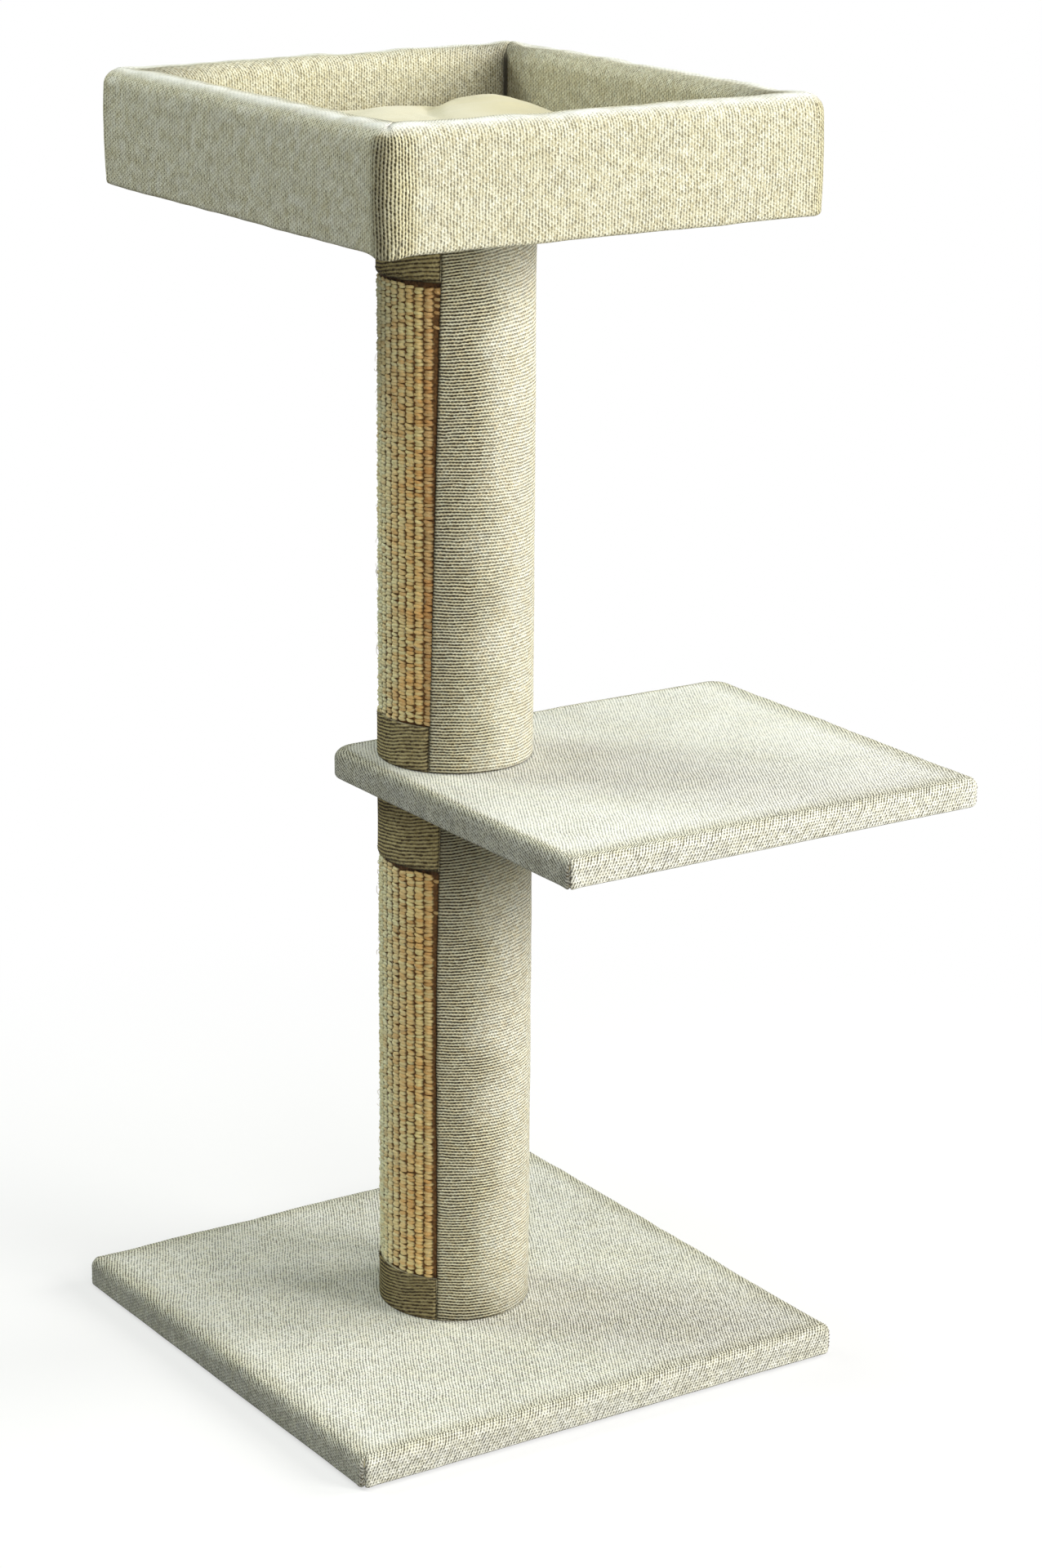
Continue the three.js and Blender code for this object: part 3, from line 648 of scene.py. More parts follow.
def slab_cloth(name, node, radii, slits, seed, sag, body, top_light, left_shade):
    """One sheet stretched over a padded board and hemmed underneath, with its corners folded in. slits
    is the depth of each corner's fold, whose slit is darkened as painted shade; worn pales the top as
    painted light from above, and shabby darkens the left side as painted shade."""
    low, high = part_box(node)
    plan = Plan(low, high, radii)
    bottom, top = low.z, high.z
    fold = 2.6 * MM
    outer = straight((HEM, bottom), (fold, bottom), 7)
    outer += quarter(fold, bottom + fold, fold, -90, 0, 4)
    outer += straight((0, bottom + fold + 1.2 * MM), (0, top - SOFT_EDGE - 0.6 * MM), 6)
    outer += quarter(SOFT_EDGE, top - SOFT_EDGE, SOFT_EDGE, 0, 90, 8)
    inner = [(HEM, bottom + CLOTH), (fold + 2 * MM, bottom + CLOTH), (CLOTH, bottom + fold + 1.4 * MM),
             (CLOTH, top - SOFT_EDGE), (CLOTH + 0.35 * SOFT_EDGE, top - CLOTH - 0.35 * SOFT_EDGE),
             (SOFT_EDGE, top - CLOTH)]
    flat_shares = [(s / TOP_RINGS) ** 0.85 for s in range(1, TOP_RINGS + 1)]
    grid = plan.sheet(outer, flat_shares, (1, 0.6, 0.25), inner, STUD_HOLE)
    count = len(outer)
    step = np.arange(len(grid))
    on_side = step < count
    on_top = (step >= count) & (step < count + TOP_RINGS)
    live = (step >= 4) & (step < count + TOP_RINGS - 1)

    run = np.zeros(len(grid))
    run[:count] = run_lengths(outer)[-1] - run_lengths(outer)
    run[-len(inner):] = np.linspace(0, run[0], len(inner))
    normals = surface_normals(grid)
    from_post = np.linalg.norm(grid[:, :, :2], axis=2)
    free = live[:, None] * smoothstep(POST_CLEAR, POST_FADE, from_post)
    lumps = soft_noise(grid, 55 * MM, seed) * 0.55 * MM + soft_noise(grid, 19 * MM, seed + 1) * 0.22 * MM
    edge_near = bell(run, 9 * MM, 4 * MM)[:, None]
    give = lumps * (0.6 + 0.9 * edge_near) - sag * (1 - edge_near) * 0.2
    crease = np.zeros(grid.shape[:2])
    side_rows = (on_side * live * smoothstep(-2 * MM, 5 * MM, run))[:, None]
    # each corner's slit is darkened as painted shade, fully once it is SLIT_DARKEST deep
    for k, depth in enumerate(slits):
        gap = plan.corner_distance(k)
        wobble = soft_noise(grid, 7 * MM, seed + 5 + k) * 0.5 * MM
        slit = bell(gap + wobble, 1.0 * MM) * side_rows
        puff = bell(gap, 3.5 * MM, 5 * MM) * side_rows
        give = give - slit * depth + puff * 0.25 * depth
        crease = np.maximum(crease, slit * min(1.0, depth / SLIT_DARKEST))
    # the left side is painted darker than the rest: painted shade
    left = (plan.side == 2)[None, :] * (smoothstep(4 * MM, 9 * MM, run) * on_side)[:, None]
    crease = np.maximum(crease, left * (left_shade + soft_noise(grid, 18 * MM, seed + 8) * 0.15))
    grid = grid + normals * (give * free)[:, :, None]

    maps = [plan.unrolled(k, run) for k in range(4)]

    def chart(i, below, j, right):
        flat = grid[:, :, :2] if on_top[i] or on_top[below] else maps[plan.side[j]]
        return face_places(flat, i, below, j, right)

    over_edge = bell(run, 8 * MM, 1 * MM) * live * on_side * 0.5
    stretch = np.broadcast_to(over_edge[:, None], crease.shape)
    # the top, clear of its left edge, is paled as painted light from above
    flat_top = on_top[:, None] * smoothstep(0, 20 * MM, grid[:, :, 0] - low.x)
    rubbed = np.clip(flat_top * (top_light + soft_noise(grid, 45 * MM, seed + 11) * 0.2), 0, 1)
    piece = sheet(name, grid, cloth_flat, chart,
                  {"crease": crease, "stretch": stretch, "rubbed": rubbed})
    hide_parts(node)
    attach(piece, body)
    return piece


base_cloth = slab_cloth("base_cloth", "base_cover", BASE_RADII, [1.6 * MM, 1.0 * MM, 1.2 * MM, 2.2 * MM],
                        3, 0.6 * MM, "post_column", 0.16, 0.24)
platform_cloth = slab_cloth("platform_cloth", "platform_cover", PLATFORM_RADII,
                            [0.5 * MM, 0.4 * MM, 0.6 * MM, 2.4 * MM],
                            9, 0.4 * MM, "platform", 0.48, 0.36)

# ---------------------------------------------------------------- cloth over the tray

WALL = 40 * MM                # a padded wall's thickness
RIM = 14 * MM                 # how round its top is
FLOOR_RINGS = 9
BOLT_HOLE = 17 * MM           # clear of the washer
FRONT_CORNER = 3              # the one nearest to the camera


def tray_cloth():
    """One sewn cover over the outside, the padded rim, the inside walls and the floor of the tray."""
    low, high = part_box("tray_cover")
    plan = Plan(low, high, [15 * MM] * 4)
    bottom, top = low.z, high.z
    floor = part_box("cushion")[0].z - 0.3 * MM
    fold = 4 * MM
    outer = straight((HEM, bottom), (fold, bottom), 7)
    outer += quarter(fold, bottom + fold, fold, -90, 0, 5)
    outer += straight((0, bottom + fold + 2 * MM), (0, top - RIM - 2 * MM), 18)
    outer += quarter(RIM, top - RIM, RIM, 0, 90, 9)
    outer += straight((RIM + 2.5 * MM, top), (WALL - RIM - 0.5 * MM, top), 4)
    outer += quarter(WALL - RIM, top - RIM, RIM, 90, 180, 9)
    outer += straight((WALL, top - RIM - 3 * MM), (WALL, floor + 2 * MM), 12)
    outer += quarter(WALL + 2 * MM, floor + 2 * MM, 2 * MM, 0, -90, 3)
    inner = [(HEM, bottom + CLOTH), (fold + MM, bottom + CLOTH), (CLOTH, bottom + fold + 2 * MM),
             (CLOTH, top - RIM), (RIM, top - CLOTH), (WALL - RIM, top - CLOTH),
             (WALL - CLOTH, top - RIM), (WALL - CLOTH, floor - CLOTH)]
    floor_shares = [s / FLOOR_RINGS for s in range(1, FLOOR_RINGS + 1)]
    grid = plan.sheet(outer, floor_shares, (1, 0.5), inner, BOLT_HOLE)
    count = len(outer)
    step = np.arange(len(grid))
    run = run_lengths(outer)
    run = np.concatenate([run, run[-1] + np.linspace(0.01, 0.18, FLOOR_RINGS),
                          np.linspace(run[-1], run[0], len(grid) - count - FLOOR_RINGS)])
    normals = surface_normals(grid)
    live = (step >= 3) & (step < count - 4)
    heights = np.zeros(len(grid))
    heights[:count] = [z for _, z in outer]
    rim_row = np.argmax(heights)
    rim_rows = bell(run, 22 * MM, run[rim_row])[:, None]
    belly = np.clip(1 - ((heights - (bottom + top) / 2) / (0.42 * (top - bottom))) ** 2, 0, 1)
    belly = belly * (step < count) * np.where(step > count // 2, 0.4, 1.1) * MM
    lumps = soft_noise(grid, 60 * MM, 21) * 0.7 * MM + soft_noise(grid, 22 * MM, 22) * 0.35 * MM
    rim_lumps = soft_noise(grid * np.array([1, 1, 0.2]), 34 * MM, 23) * 1.8 * MM
    give = lumps + rim_lumps * rim_rows + belly[:, None]
    crease = np.zeros(grid.shape[:2])
    stretch = np.zeros(grid.shape[:2])
    inner_wall = ((step > rim_row + 4) & (step < count))[:, None]
    outer_wall = ((heights > bottom + MM) & (step < count // 2))[:, None]
    for k in range(4):
        # the columns at a corner meet in a line on the inside, where the cover is sewn
        inside_gap = np.linalg.norm(grid[:, :, :2] - plan.corner_circle(k, WALL)[:2], axis=2)
        gap = plan.corner_distance(k)
        # the seam's line and a wide hollow round each inside corner are darkened: painted shade in the
        # corner
        seam = bell(inside_gap, 3.2 * MM) * inner_wall
        hollow = bell(inside_gap, 34 * MM, power=1.6) * inner_wall * 0.52
        crease = np.maximum(crease, np.maximum(seam * 0.95, hollow))
        dip = bell(gap, 9 * MM) * rim_rows
        pucker = bell(gap, 4 * MM, 10 * MM) * outer_wall
        give = give - seam * 1.6 * MM - dip * 1.5 * MM + pucker * 0.5 * MM
        stretch = np.maximum(stretch, bell(gap, 11 * MM, power=4) * outer_wall)
    # the front corner's fold pulls the holes open some way into the front
    past_corner = (plan.arc - plan.corner_middle[FRONT_CORNER])[None, :]
    ahead = past_corner - soft_noise(grid, 30 * MM, 25) * 3 * MM
    pulled = smoothstep(-12 * MM, -6 * MM, ahead) * (1 - smoothstep(16 * MM, 36 * MM, ahead))
    stretch = np.maximum(stretch, pulled * outer_wall)
    # the rim's top is paled as painted light from above; the left wall gets random paler patches
    rim_top = bell(run, 9 * MM, run[rim_row], power=3)[:, None]
    rubbed = rim_top * (0.8 + soft_noise(grid, 16 * MM, 26) * 0.4)
    left_side = smoothstep(12 * MM, 30 * MM, -past_corner) * (1 - smoothstep(0.44, 0.47, -past_corner))
    rubbed = np.maximum(rubbed, left_side * outer_wall * (0.16 + soft_noise(grid, 9 * MM, 27) * 0.5))
    # the left half of the front corner's rounding is darkened: painted shade
    rounding = smoothstep(-15 * MM, -10 * MM, ahead) * (1 - smoothstep(-2 * MM, 5 * MM, ahead))
    crease = np.maximum(crease, rounding * outer_wall * 0.34)
    # the corner's cloth is folded over towards the front, and the fold's edge shows low down
    above = (heights - bottom)[:, None]
    from_fold = ahead - (7 * MM + above * 0.5)
    low_down = (1 - smoothstep(9 * MM, 15 * MM, above)) * outer_wall
    folded = bell(from_fold, 1.1 * MM) * low_down
    # the fold's edge is darkened as painted shade
    crease = np.maximum(crease, folded * 0.8)
    give = give - folded * 1.1 * MM + bell(from_fold, 3 * MM, -4 * MM) * low_down * 1.2 * MM
    # a tuck of spare cloth hangs a little below the front corner
    tuck = bell(plan.corner_distance(FRONT_CORNER), 13 * MM, 4 * MM) * (
        bell(run, 7 * MM, HEM) * (step < 14))[:, None]
    grid = grid + normals * (give * live[:, None])[:, :, None]
    grid[:, :, 2] -= tuck * 3.2 * MM
    around = np.append(plan.arc, plan.around)

    def chart(i, below, j, right):
        if count - 1 <= i < count + FLOOR_RINGS:
            return face_places(grid[:, :, :2], i, below, j, right)
        here, under = -run[i], -run[below] if below else -run[i] - CLOTH
        return [(around[j], here), (around[j + 1], here), (around[j + 1], under), (around[j], under)]

    piece = sheet("tray_cloth", grid, cloth_down, chart,
                  {"crease": crease, "stretch": stretch, "rubbed": np.clip(rubbed, 0, 1)})
    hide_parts("tray_cover")
    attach(piece, "tray")
    return piece


tray_cover = tray_cloth()

# ---------------------------------------------------------------- posts: sleeves, bands and sisal

POST_RADIUS = 69 * MM
LEFT_SEAM = 133.0             # degrees round the post from +X
SEAM_GAP = 0.5
SISAL_RIBS = 13
RIB_ANGLE = 8.0               # degrees from one rib to the next
LOOP_RADIUS = 65.4 * MM
PLY_PITCH = 2.9 * MM          # from one yarn loop of a rib to the next
FIBRES = 90                   # loose ones on each strip


def right_seam(post, z, low, high):
    """The angle of the sleeve's edge on the side that the camera sees, which drifts with height."""
    share = (z - low) / (high - low)
    if post == "upper":
        return 217.5 + 10.0 * share
    return 222.5 + 4.5 * share + 1.5 * cos(share * pi * 1.5)


def round_post(radius, angles, z):
    """Points round the posts' axis."""
    return at_height(np.column_stack([radius * np.cos(angles), radius * np.sin(angles)]), z)


def round_ways(angles, slant):
    """Directions round the posts' axis, slanted up it."""
    return at_height(np.column_stack([-np.sin(angles), np.cos(angles)]), slant)


def arc_cloth(name, node, from_seam, to_seam, seed, material, bulge=0.5 * MM, shaded=0.0, even_grey=0.0,
              foot_grey=0.0):
    """A curved sheet of cloth on a post, with its edges folded in. The seams are functions of height
    that give an angle in degrees. shaded is how far down the painted shadow of the tier above reaches,
    soiled an even greyness and scuffed a greyness that fades up from its foot."""
    low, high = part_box(node)
    from_end = np.array([0, 0.35, 0.8, 1.5]) * MM
    drawn_in = [1.05, 0.5, 0.18, 0.0]
    rows = max(6, int((high.z - low.z) / (3.2 * MM)))
    heights = np.concatenate([low.z + from_end, np.linspace(low.z, high.z, rows)[1:-1],
                              high.z - from_end[::-1]])
    pulled = np.concatenate([drawn_in, np.zeros(rows - 2), drawn_in[::-1]]) * MM
    span_length = radians(abs(to_seam(low.z) - from_seam(low.z))) * POST_RADIUS
    columns = max(12, int(span_length / (2.2 * MM)))
    # shares across the sheet, closer together at the two folded edges
    shares = (1 - np.cos(np.linspace(0, pi, columns))) / 2 * 0.35 + np.linspace(0, 1, columns) * 0.65
    grid = []
    for z, pull in zip(heights, pulled):
        ripple, tremor, far_ripple = (noise.noise(Vector(place)) for place in (
            (seed, z * 38, 0), (seed, z * 130, 5), (seed + 9, z * 38, 0)))
        start = radians(from_seam(z) + (ripple * 0.45 + tremor * 0.25))
        end = radians(to_seam(z) + far_ripple * 0.45)
        angles = start + (end - start) * shares
        edge = np.minimum(angles - start, end - angles) * POST_RADIUS
        lip = 1 - np.clip(edge / (1.3 * MM), 0, 1)
        radius = POST_RADIUS - pull - lip ** 2 * 1.0 * MM + bell(edge, 3 * MM, 3 * MM) * 0.25 * MM
        inside = POST_RADIUS - CLOTH + 0.05 * MM
        grid.append(np.vstack([round_post(radius, angles, z), round_post(inside, angles, z)[::-1]]))
    grid = np.array(grid)
    radial = grid * np.array([1, 1, 0])
    radial /= np.linalg.norm(radial, axis=2, keepdims=True)
    amount = soft_noise(grid, 42 * MM, seed) * bulge
    amount += soft_noise(grid * np.array([1, 1, 0.35]), 13 * MM, seed + 2) * 0.16 * MM
    amount[:, columns:] = 0
    amount = np.minimum(amount, 0.55 * MM) * smoothstep(0, 6 * MM, np.minimum(
        grid[:, :, 2] - low.z, high.z - grid[:, :, 2]))
    grid = grid + radial * amount[:, :, None]
    vertices = grid.reshape(-1, 3)
    turned = outwards(vertices, plate_faces(len(grid), columns))
    u = np.unwrap(np.arctan2(grid[:, :columns, 1], grid[:, :columns, 0]), axis=1) * POST_RADIUS
    u = np.concatenate([u, u[:, ::-1]], axis=1)
    from_top, above_foot = high.z - grid[:, :, 2], grid[:, :, 2] - low.z
    # the ribs run down a little from the seam near the top, where the sleeve was drawn tight
    skew = 0.17 * bell(from_top, 110 * MM)
    places = np.stack([u, grid[:, :, 2] - skew * (u - u[:, :1])], axis=2).reshape(-1, 2)
    uv = places[np.array(turned)]
    # the folded edges at the seams are darkened, and the inner face half so: painted shade
    dark = bell(np.minimum(shares, 1 - shares) * span_length, 1.1 * MM)
    crease = np.tile(np.concatenate([dark, np.ones(columns) * 0.5]), (len(grid), 1)) * 0.8
    # the top is darkened under a tier as its painted shadow; otherwise a patch may be greyed evenly, and
    # a grey fades up from the foot
    darkening_amount = 0.7 * bell(from_top, shaded, power=1.4) if shaded else even_grey
    darkening_amount = np.maximum(darkening_amount, foot_grey * np.exp(-above_foot / (26 * MM)))
    # the very foot is darkened where it meets the part below: painted contact shade
    darkening_amount = np.maximum(darkening_amount, 0.85 * bell(above_foot, 2.2 * MM))
    # towards the seams the holes are opened and darkened as painted shade
    from_edge = shares * span_length
    patchy = soft_noise(grid, 38 * MM, seed + 4) * 24 * MM
    away = np.concatenate([from_edge, from_edge[::-1]])[None, :] + patchy
    piece = make_piece(name, vertices, turned, material, uv, {
        "crease": np.maximum(crease, darkening_amount), "stretch": 1 - smoothstep(22 * MM, 72 * MM, away)})
    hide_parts(node)
    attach(piece, "post_column")
    return piece


def new_tree(name, whole, decimal):
    """A Geometry Nodes tree with named inputs, and the function that gives an input's socket."""
    tree = bpy.data.node_groups.new(name, "GeometryNodeTree")

    def declare(label, kind, in_out="INPUT"):
        return tree.interface.new_socket(label, in_out=in_out, socket_type="NodeSocket" + kind)

    declare("Geometry", "Geometry")
    for kind, defaults in (("Int", whole), ("Float", decimal)):
        for label, value in defaults.items():
            declare(label, kind).default_value = value
    declare("Finish", "Material")
    declare("Geometry", "Geometry", "OUTPUT")
    g = Graph(tree)
    group_input = g.add("NodeGroupInput", out=None)
    return g, lambda label: Socket(tree, group_input.outputs[label])


def close_tree(g, instances, finish):
    """Makes the instances real, gives them their finish and returns the finished tree."""
    solid = g.add("GeometryNodeRealizeInstances", Geometry=instances)
    finished = g.add("GeometryNodeSetMaterial", Geometry=solid, Material=finish)
    g.tree.links.new(finished.output, g.add("NodeGroupOutput", out=None).inputs[0])
    return g.tree


def bent_thread(g, ends, middle, thickness, resolution, sides):
    """A thread that arches from one end to the other."""
    arch = g.add("GeometryNodeCurveQuadraticBezier", Resolution=resolution, Start=ends[0],
                 Middle=middle, End=ends[1])
    ring = g.add("GeometryNodeCurvePrimitiveCircle", Resolution=sides, Radius=thickness)
    tube = g.add("GeometryNodeCurveToMesh", Curve=arch, Profile_Curve=ring, Fill_Caps=True)
    return g.add("GeometryNodeSetShadeSmooth", Geometry=tube)


def loop_tree():
    """Ribs of looped sisal yarn that run up a post. Each loop is a short bead of yarn that arches over
    the rib, and they lean one way and the other by turns."""
    g, given = new_tree("sisal_loops", {"Ribs": SISAL_RIBS, "Plies": 150, "Seed": 5}, {
        "Radius": 65.5 * MM, "First angle": 2.38, "Rib angle": 0.14, "Foot": 70 * MM,
        "Ply pitch": 2.9 * MM, "Width": 7.8 * MM, "Rise": 2.2 * MM, "Yarn": 1.6 * MM, "Lean": 0.12,
        "Seam foot": 3.8, "Seam head": 3.96, "Length": 390 * MM})
    index = g.add("GeometryNodeInputIndex")

    def jitter(low, high, shift, per=index):
        return g.add("FunctionNodeRandomValue", {"data_type": "FLOAT"}, out=1, in_2=low, in_3=high,
                     ID=per, Seed=given("Seed") + shift)

    def store(geometry, name, domain, value):
        return g.add("GeometryNodeStoreNamedAttribute", {"data_type": "FLOAT", "domain": domain},
                     Geometry=geometry, Name=name, Value=value)

    row = ((index + 0.5) / given("Ribs")).floor()
    rib = index - row * given("Ribs")
    pair = (row * 0.5).floor()
    way = (row - pair * 2.0) * 2.0 - 1.0
    angle = (given("First angle") + (rib + 0.5) * given("Rib angle")
             + jitter(-0.006, 0.006, 1, rib + pair * given("Ribs")) + way * 0.006)
    stagger = jitter(0.0, 1.0, 10, rib) * given("Ply pitch")
    height = (given("Foot") + (row + 0.5) * given("Ply pitch") + stagger
              + jitter(-0.6 * MM, 0.6 * MM, 2))
    out = given("Radius") + jitter(-0.6 * MM, 0.2 * MM, 3)
    points = g.add("GeometryNodePoints", in_0=given("Ribs") * given("Plies"),
                   in_1=g.vector(angle.cosine() * out, angle.sine() * out, height), in_2=1 * MM)
    share = (height - given("Foot")) / given("Length")
    seam = given("Seam foot") + (given("Seam head") - given("Seam foot")) * share
    shown = (angle < (seam - given("Rib angle") * 0.12)) * (share < 0.992)
    loop = bent_thread(g, [g.vector(-0.6 * MM, given("Width") * half, 0.0) for half in (-0.5, 0.5)],
                       g.vector(given("Rise") * 2.0, 0.0, 0.0), given("Yarn"), 5, 6)
    depth = g.split(g.add("GeometryNodeInputPosition"))[0]
    loop = store(loop, "crown", "POINT", (depth / (given("Rise") + given("Yarn"))).clipped())
    turn = g.vector(way * given("Lean") + jitter(-0.16, 0.16, 4), jitter(-0.12, 0.12, 5), angle)
    scale = g.vector(jitter(0.78, 1.08, 6), jitter(0.84, 1.04, 7), jitter(0.88, 1.15, 8))
    x, y, _ = g.split(g.add("GeometryNodeInputPosition"))
    round_angle = (0.0 - y).math("ARCTAN2", 0.0 - x) + pi
    loops = g.add("GeometryNodeInstanceOnPoints", Points=points, Selection=shown, Instance=loop,
                  Rotation=turn, Scale=scale)
    loops = store(loops, "tone", "INSTANCE", jitter(0.0, 1.0, 9))
    loops = store(loops, "sheltered", "INSTANCE", (round_angle - given("First angle"))
                  / (given("Seam foot") - given("First angle")))
    return close_tree(g, loops, given("Finish"))


def length_tree():
    """A short arched length of thread or wire on every point of the start mesh, which carries the way
    it lies and the way it faces."""
    g, given = new_tree("laid_lengths", {"Seed": 1}, {
        "Length": 4 * MM, "Rise": 0.5 * MM, "Thickness": 0.3 * MM, "Spread": 0.12})
    half = given("Length") * 0.5
    sunk = given("Thickness") * -1.6
    laid = bent_thread(g, [g.vector(half * -1.0, 0.0, sunk), g.vector(half, 0.0, sunk)],
                       g.vector(0.0, 0.0, given("Rise") * 2.0), given("Thickness"), 4, 5)
    lie, up = (g.add("GeometryNodeInputNamedAttribute", {"data_type": "FLOAT_VECTOR"}, Name=name)
               for name in ("lie", "face"))
    turn = g.add("FunctionNodeAxesToRotation", {"primary_axis": "Z", "secondary_axis": "X"},
                 in_0=up, in_1=lie)
    size = [g.add("FunctionNodeRandomValue", {"data_type": "FLOAT"}, out=1, in_2=1.0 - given("Spread"),
                  in_3=given("Spread") + 1.0, Seed=given("Seed") + shift) for shift in range(2)]
    lengths = g.add("GeometryNodeInstanceOnPoints", Points=given("Geometry"), Instance=laid,
                    Rotation=turn, Scale=g.vector(size[0], 1.0, size[1]))
    return close_tree(g, lengths, given("Finish"))


def grow(tree, name, settings, start=None):
    """Runs a geometry tree and returns its result as a plain mesh."""
    holder = bpy.data.objects.new(name + "_start", start or bpy.data.meshes.new(name + "_start"))
    scene.collection.objects.link(holder)
    modifier = holder.modifiers.new("grow", "NODES")
    modifier.node_group = tree
    identifiers = {item.name: item.identifier for item in tree.interface.items_tree
                   if item.in_out == "INPUT"}
    for label, value in settings.items():
        modifier[identifiers[label]] = value
    evaluated = holder.evaluated_get(bpy.context.evaluated_depsgraph_get())
    mesh = bpy.data.meshes.new_from_object(evaluated)
    mesh.name = name
    holder.modifiers.remove(modifier)
    bpy.data.objects.remove(holder)
    return mesh


sisal_tree, lay_tree = loop_tree(), length_tree()
dice = np.random.default_rng(17)


def lay_lengths(name, surface, spots, ways, **settings):
    """Lays lengths of thread or wire on a piece, at the places nearest to spots, along ways."""
    start = bpy.data.meshes.new(name + "_start")
    found = [surface.closest_point_on_mesh(Vector(spot)) for spot in spots]
    start.from_pydata([place for _, place, _, _ in found], [], [])
    for key, directions in (("lie", [Vector(way).normalized() for way in ways]),
                            ("face", [up for _, _, up, _ in found])):
        attribute = start.attributes.new(key, "FLOAT_VECTOR", "POINT")
        attribute.data.foreach_set("vector", [part for way in directions for part in way])
    return grow(lay_tree, name, {"Rise": 0.5 * MM, "Finish": dark_thread, **settings}, start)


def join_into(base, meshes):
    """Adds meshes to a piece, with their own finishes."""
    for mesh in meshes:
        other = bpy.data.objects.new("joined", mesh)
        scene.collection.objects.link(other)
        both = [base, other]
        with bpy.context.temp_override(active_object=base, object=base, selected_objects=both,
                                       selected_editable_objects=both):
            bpy.ops.object.join()


def lengths_piece(name, meshes, body):
    """Joins laid lengths into one piece."""
    piece = bpy.data.objects.new(name, meshes[0])
    scene.collection.objects.link(piece)
    join_into(piece, meshes[1:])
    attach(piece, body)


def arc_block(low_angle, high_angle, low_z, high_z, inside, outside, columns=40, rows=40):
    """A closed curved plate; the angles are functions of height, in degrees."""
    grid = []
    for z in np.linspace(low_z, high_z, rows):
        angles = np.radians(np.linspace(low_angle(z), high_angle(z), columns))
        grid += [round_post(outside, angles, z), round_post(inside, angles, z)[::-1]]
    vertices = np.vstack(grid)
    return vertices, outwards(vertices, plate_faces(rows, columns))


def sisal_strip(post, seam):
    """Yarn loops on their backing, with a few fibres that have been pulled out of the ribs."""
    node = post + "_post_sisal"
    low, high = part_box(node)
    mesh = grow(sisal_tree, node + "_loops", {
        "Ribs": SISAL_RIBS, "Plies": int((high.z - low.z) / PLY_PITCH), "Seed": SISAL_SEED[post],
        "Radius": LOOP_RADIUS, "Ply pitch": PLY_PITCH, "First angle": radians(LEFT_SEAM),
        "Rib angle": radians(RIB_ANGLE), "Foot": low.z, "Length": high.z - low.z,
        "Seam foot": radians(seam(low.z)), "Seam head": radians(seam(high.z)), "Finish": sisal})
    vertices, faces = arc_block(lambda z: LEFT_SEAM + 0.3, lambda z: seam(z) - 0.6, low.z, high.z,
                                63.5 * MM, 65.6 * MM)
    piece = make_piece(post + "_sisal_strip", vertices, faces, sisal_back)
    join_into(piece, [mesh])
    turns = np.radians(dice.uniform(LEFT_SEAM + 4, seam(low.z) - 3, FIBRES))
    spots = round_post(POST_RADIUS, turns, dice.uniform(low.z + 8 * MM, high.z - 8 * MM, FIBRES))
    ways = round_ways(turns, dice.normal(0, 1.2, FIBRES))
    join_into(piece, [lay_lengths(node + "_fibres", piece, spots, ways, Seed=3, Length=8 * MM,
                                  Rise=1.6 * MM, Thickness=0.16 * MM, Spread=0.6, Finish=pale_thread)])
    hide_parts(node)
    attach(piece, "post_column")


def seam_stitches(piece, angle_at, low, high, seed):
    """Small slanted stitches that draw the sleeve and the strip beside it together."""
    heights = np.arange(low + 4 * MM, high - 3 * MM, 5.2 * MM)
    turns = np.radians([angle_at(z) for z in heights])
    ways = round_ways(turns, dice.normal(0.5, 0.12, len(heights)))
    return lay_lengths(f"seam_{seed}", piece, round_post(POST_RADIUS, turns, heights), ways, Seed=seed,
                       Length=4.2 * MM, Thickness=0.3 * MM)


def patch_stitches(piece, z, end, seed):
    """A running stitch that holds a patch down along the sisal."""
    turns = np.radians(np.arange(LEFT_SEAM + 2, end - 1, 4.4))
    spots = round_post(POST_RADIUS, turns, z + dice.normal(0, 0.25 * MM, len(turns)))
    ways = round_ways(turns, dice.normal(0, 0.05, len(turns)))
    return lay_lengths(piece.name + "_row", piece, spots, ways, Seed=seed, Length=3.4 * MM,
                       Thickness=0.3 * MM)


SISAL_SEED = {"lower": 12, "upper": 5}
post_threads = []
for post, seed, shaded, foot_grey in (("lower", 31, 88 * MM, 0.4), ("upper", 47, 30 * MM, 0.1)):
    foot, head = (end.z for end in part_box(post + "_post_cover"))

    def seam(z, post=post, foot=foot, head=head):
        return right_seam(post, z, foot, head)

    sleeve = arc_cloth(post + "_sleeve", post + "_post_cover", lambda z: seam(z) - 360 + SEAM_GAP / 2,
                       lambda z: LEFT_SEAM - SEAM_GAP / 2, seed, cloth_round, shaded=shaded,
                       foot_grey=foot_grey)
    for place in ("bottom", "top"):
        band = f"{post}_post_{place}_band"
        patch = arc_cloth(f"{post}_{place}_patch", band, lambda z: LEFT_SEAM + SEAM_GAP / 2,
                          lambda z: seam(z) - SEAM_GAP / 2, seed + 3, cloth_coarse, bulge=0.35 * MM,
                          even_grey=0.3 if (post, place) == ("lower", "bottom") else 0.0)
        low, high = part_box(band)
        z = high.z - 3 * MM if place == "bottom" else low.z + 3 * MM
        post_threads.append(patch_stitches(patch, z, seam(z), seed))
    sisal_strip(post, seam)
    post_threads.append(seam_stitches(sleeve, seam, foot, head, seed + 1))
    post_threads.append(seam_stitches(sleeve, lambda z: LEFT_SEAM, foot, head, seed + 2))

# ---------------------------------------------------------------- stitches at the corners, and staples


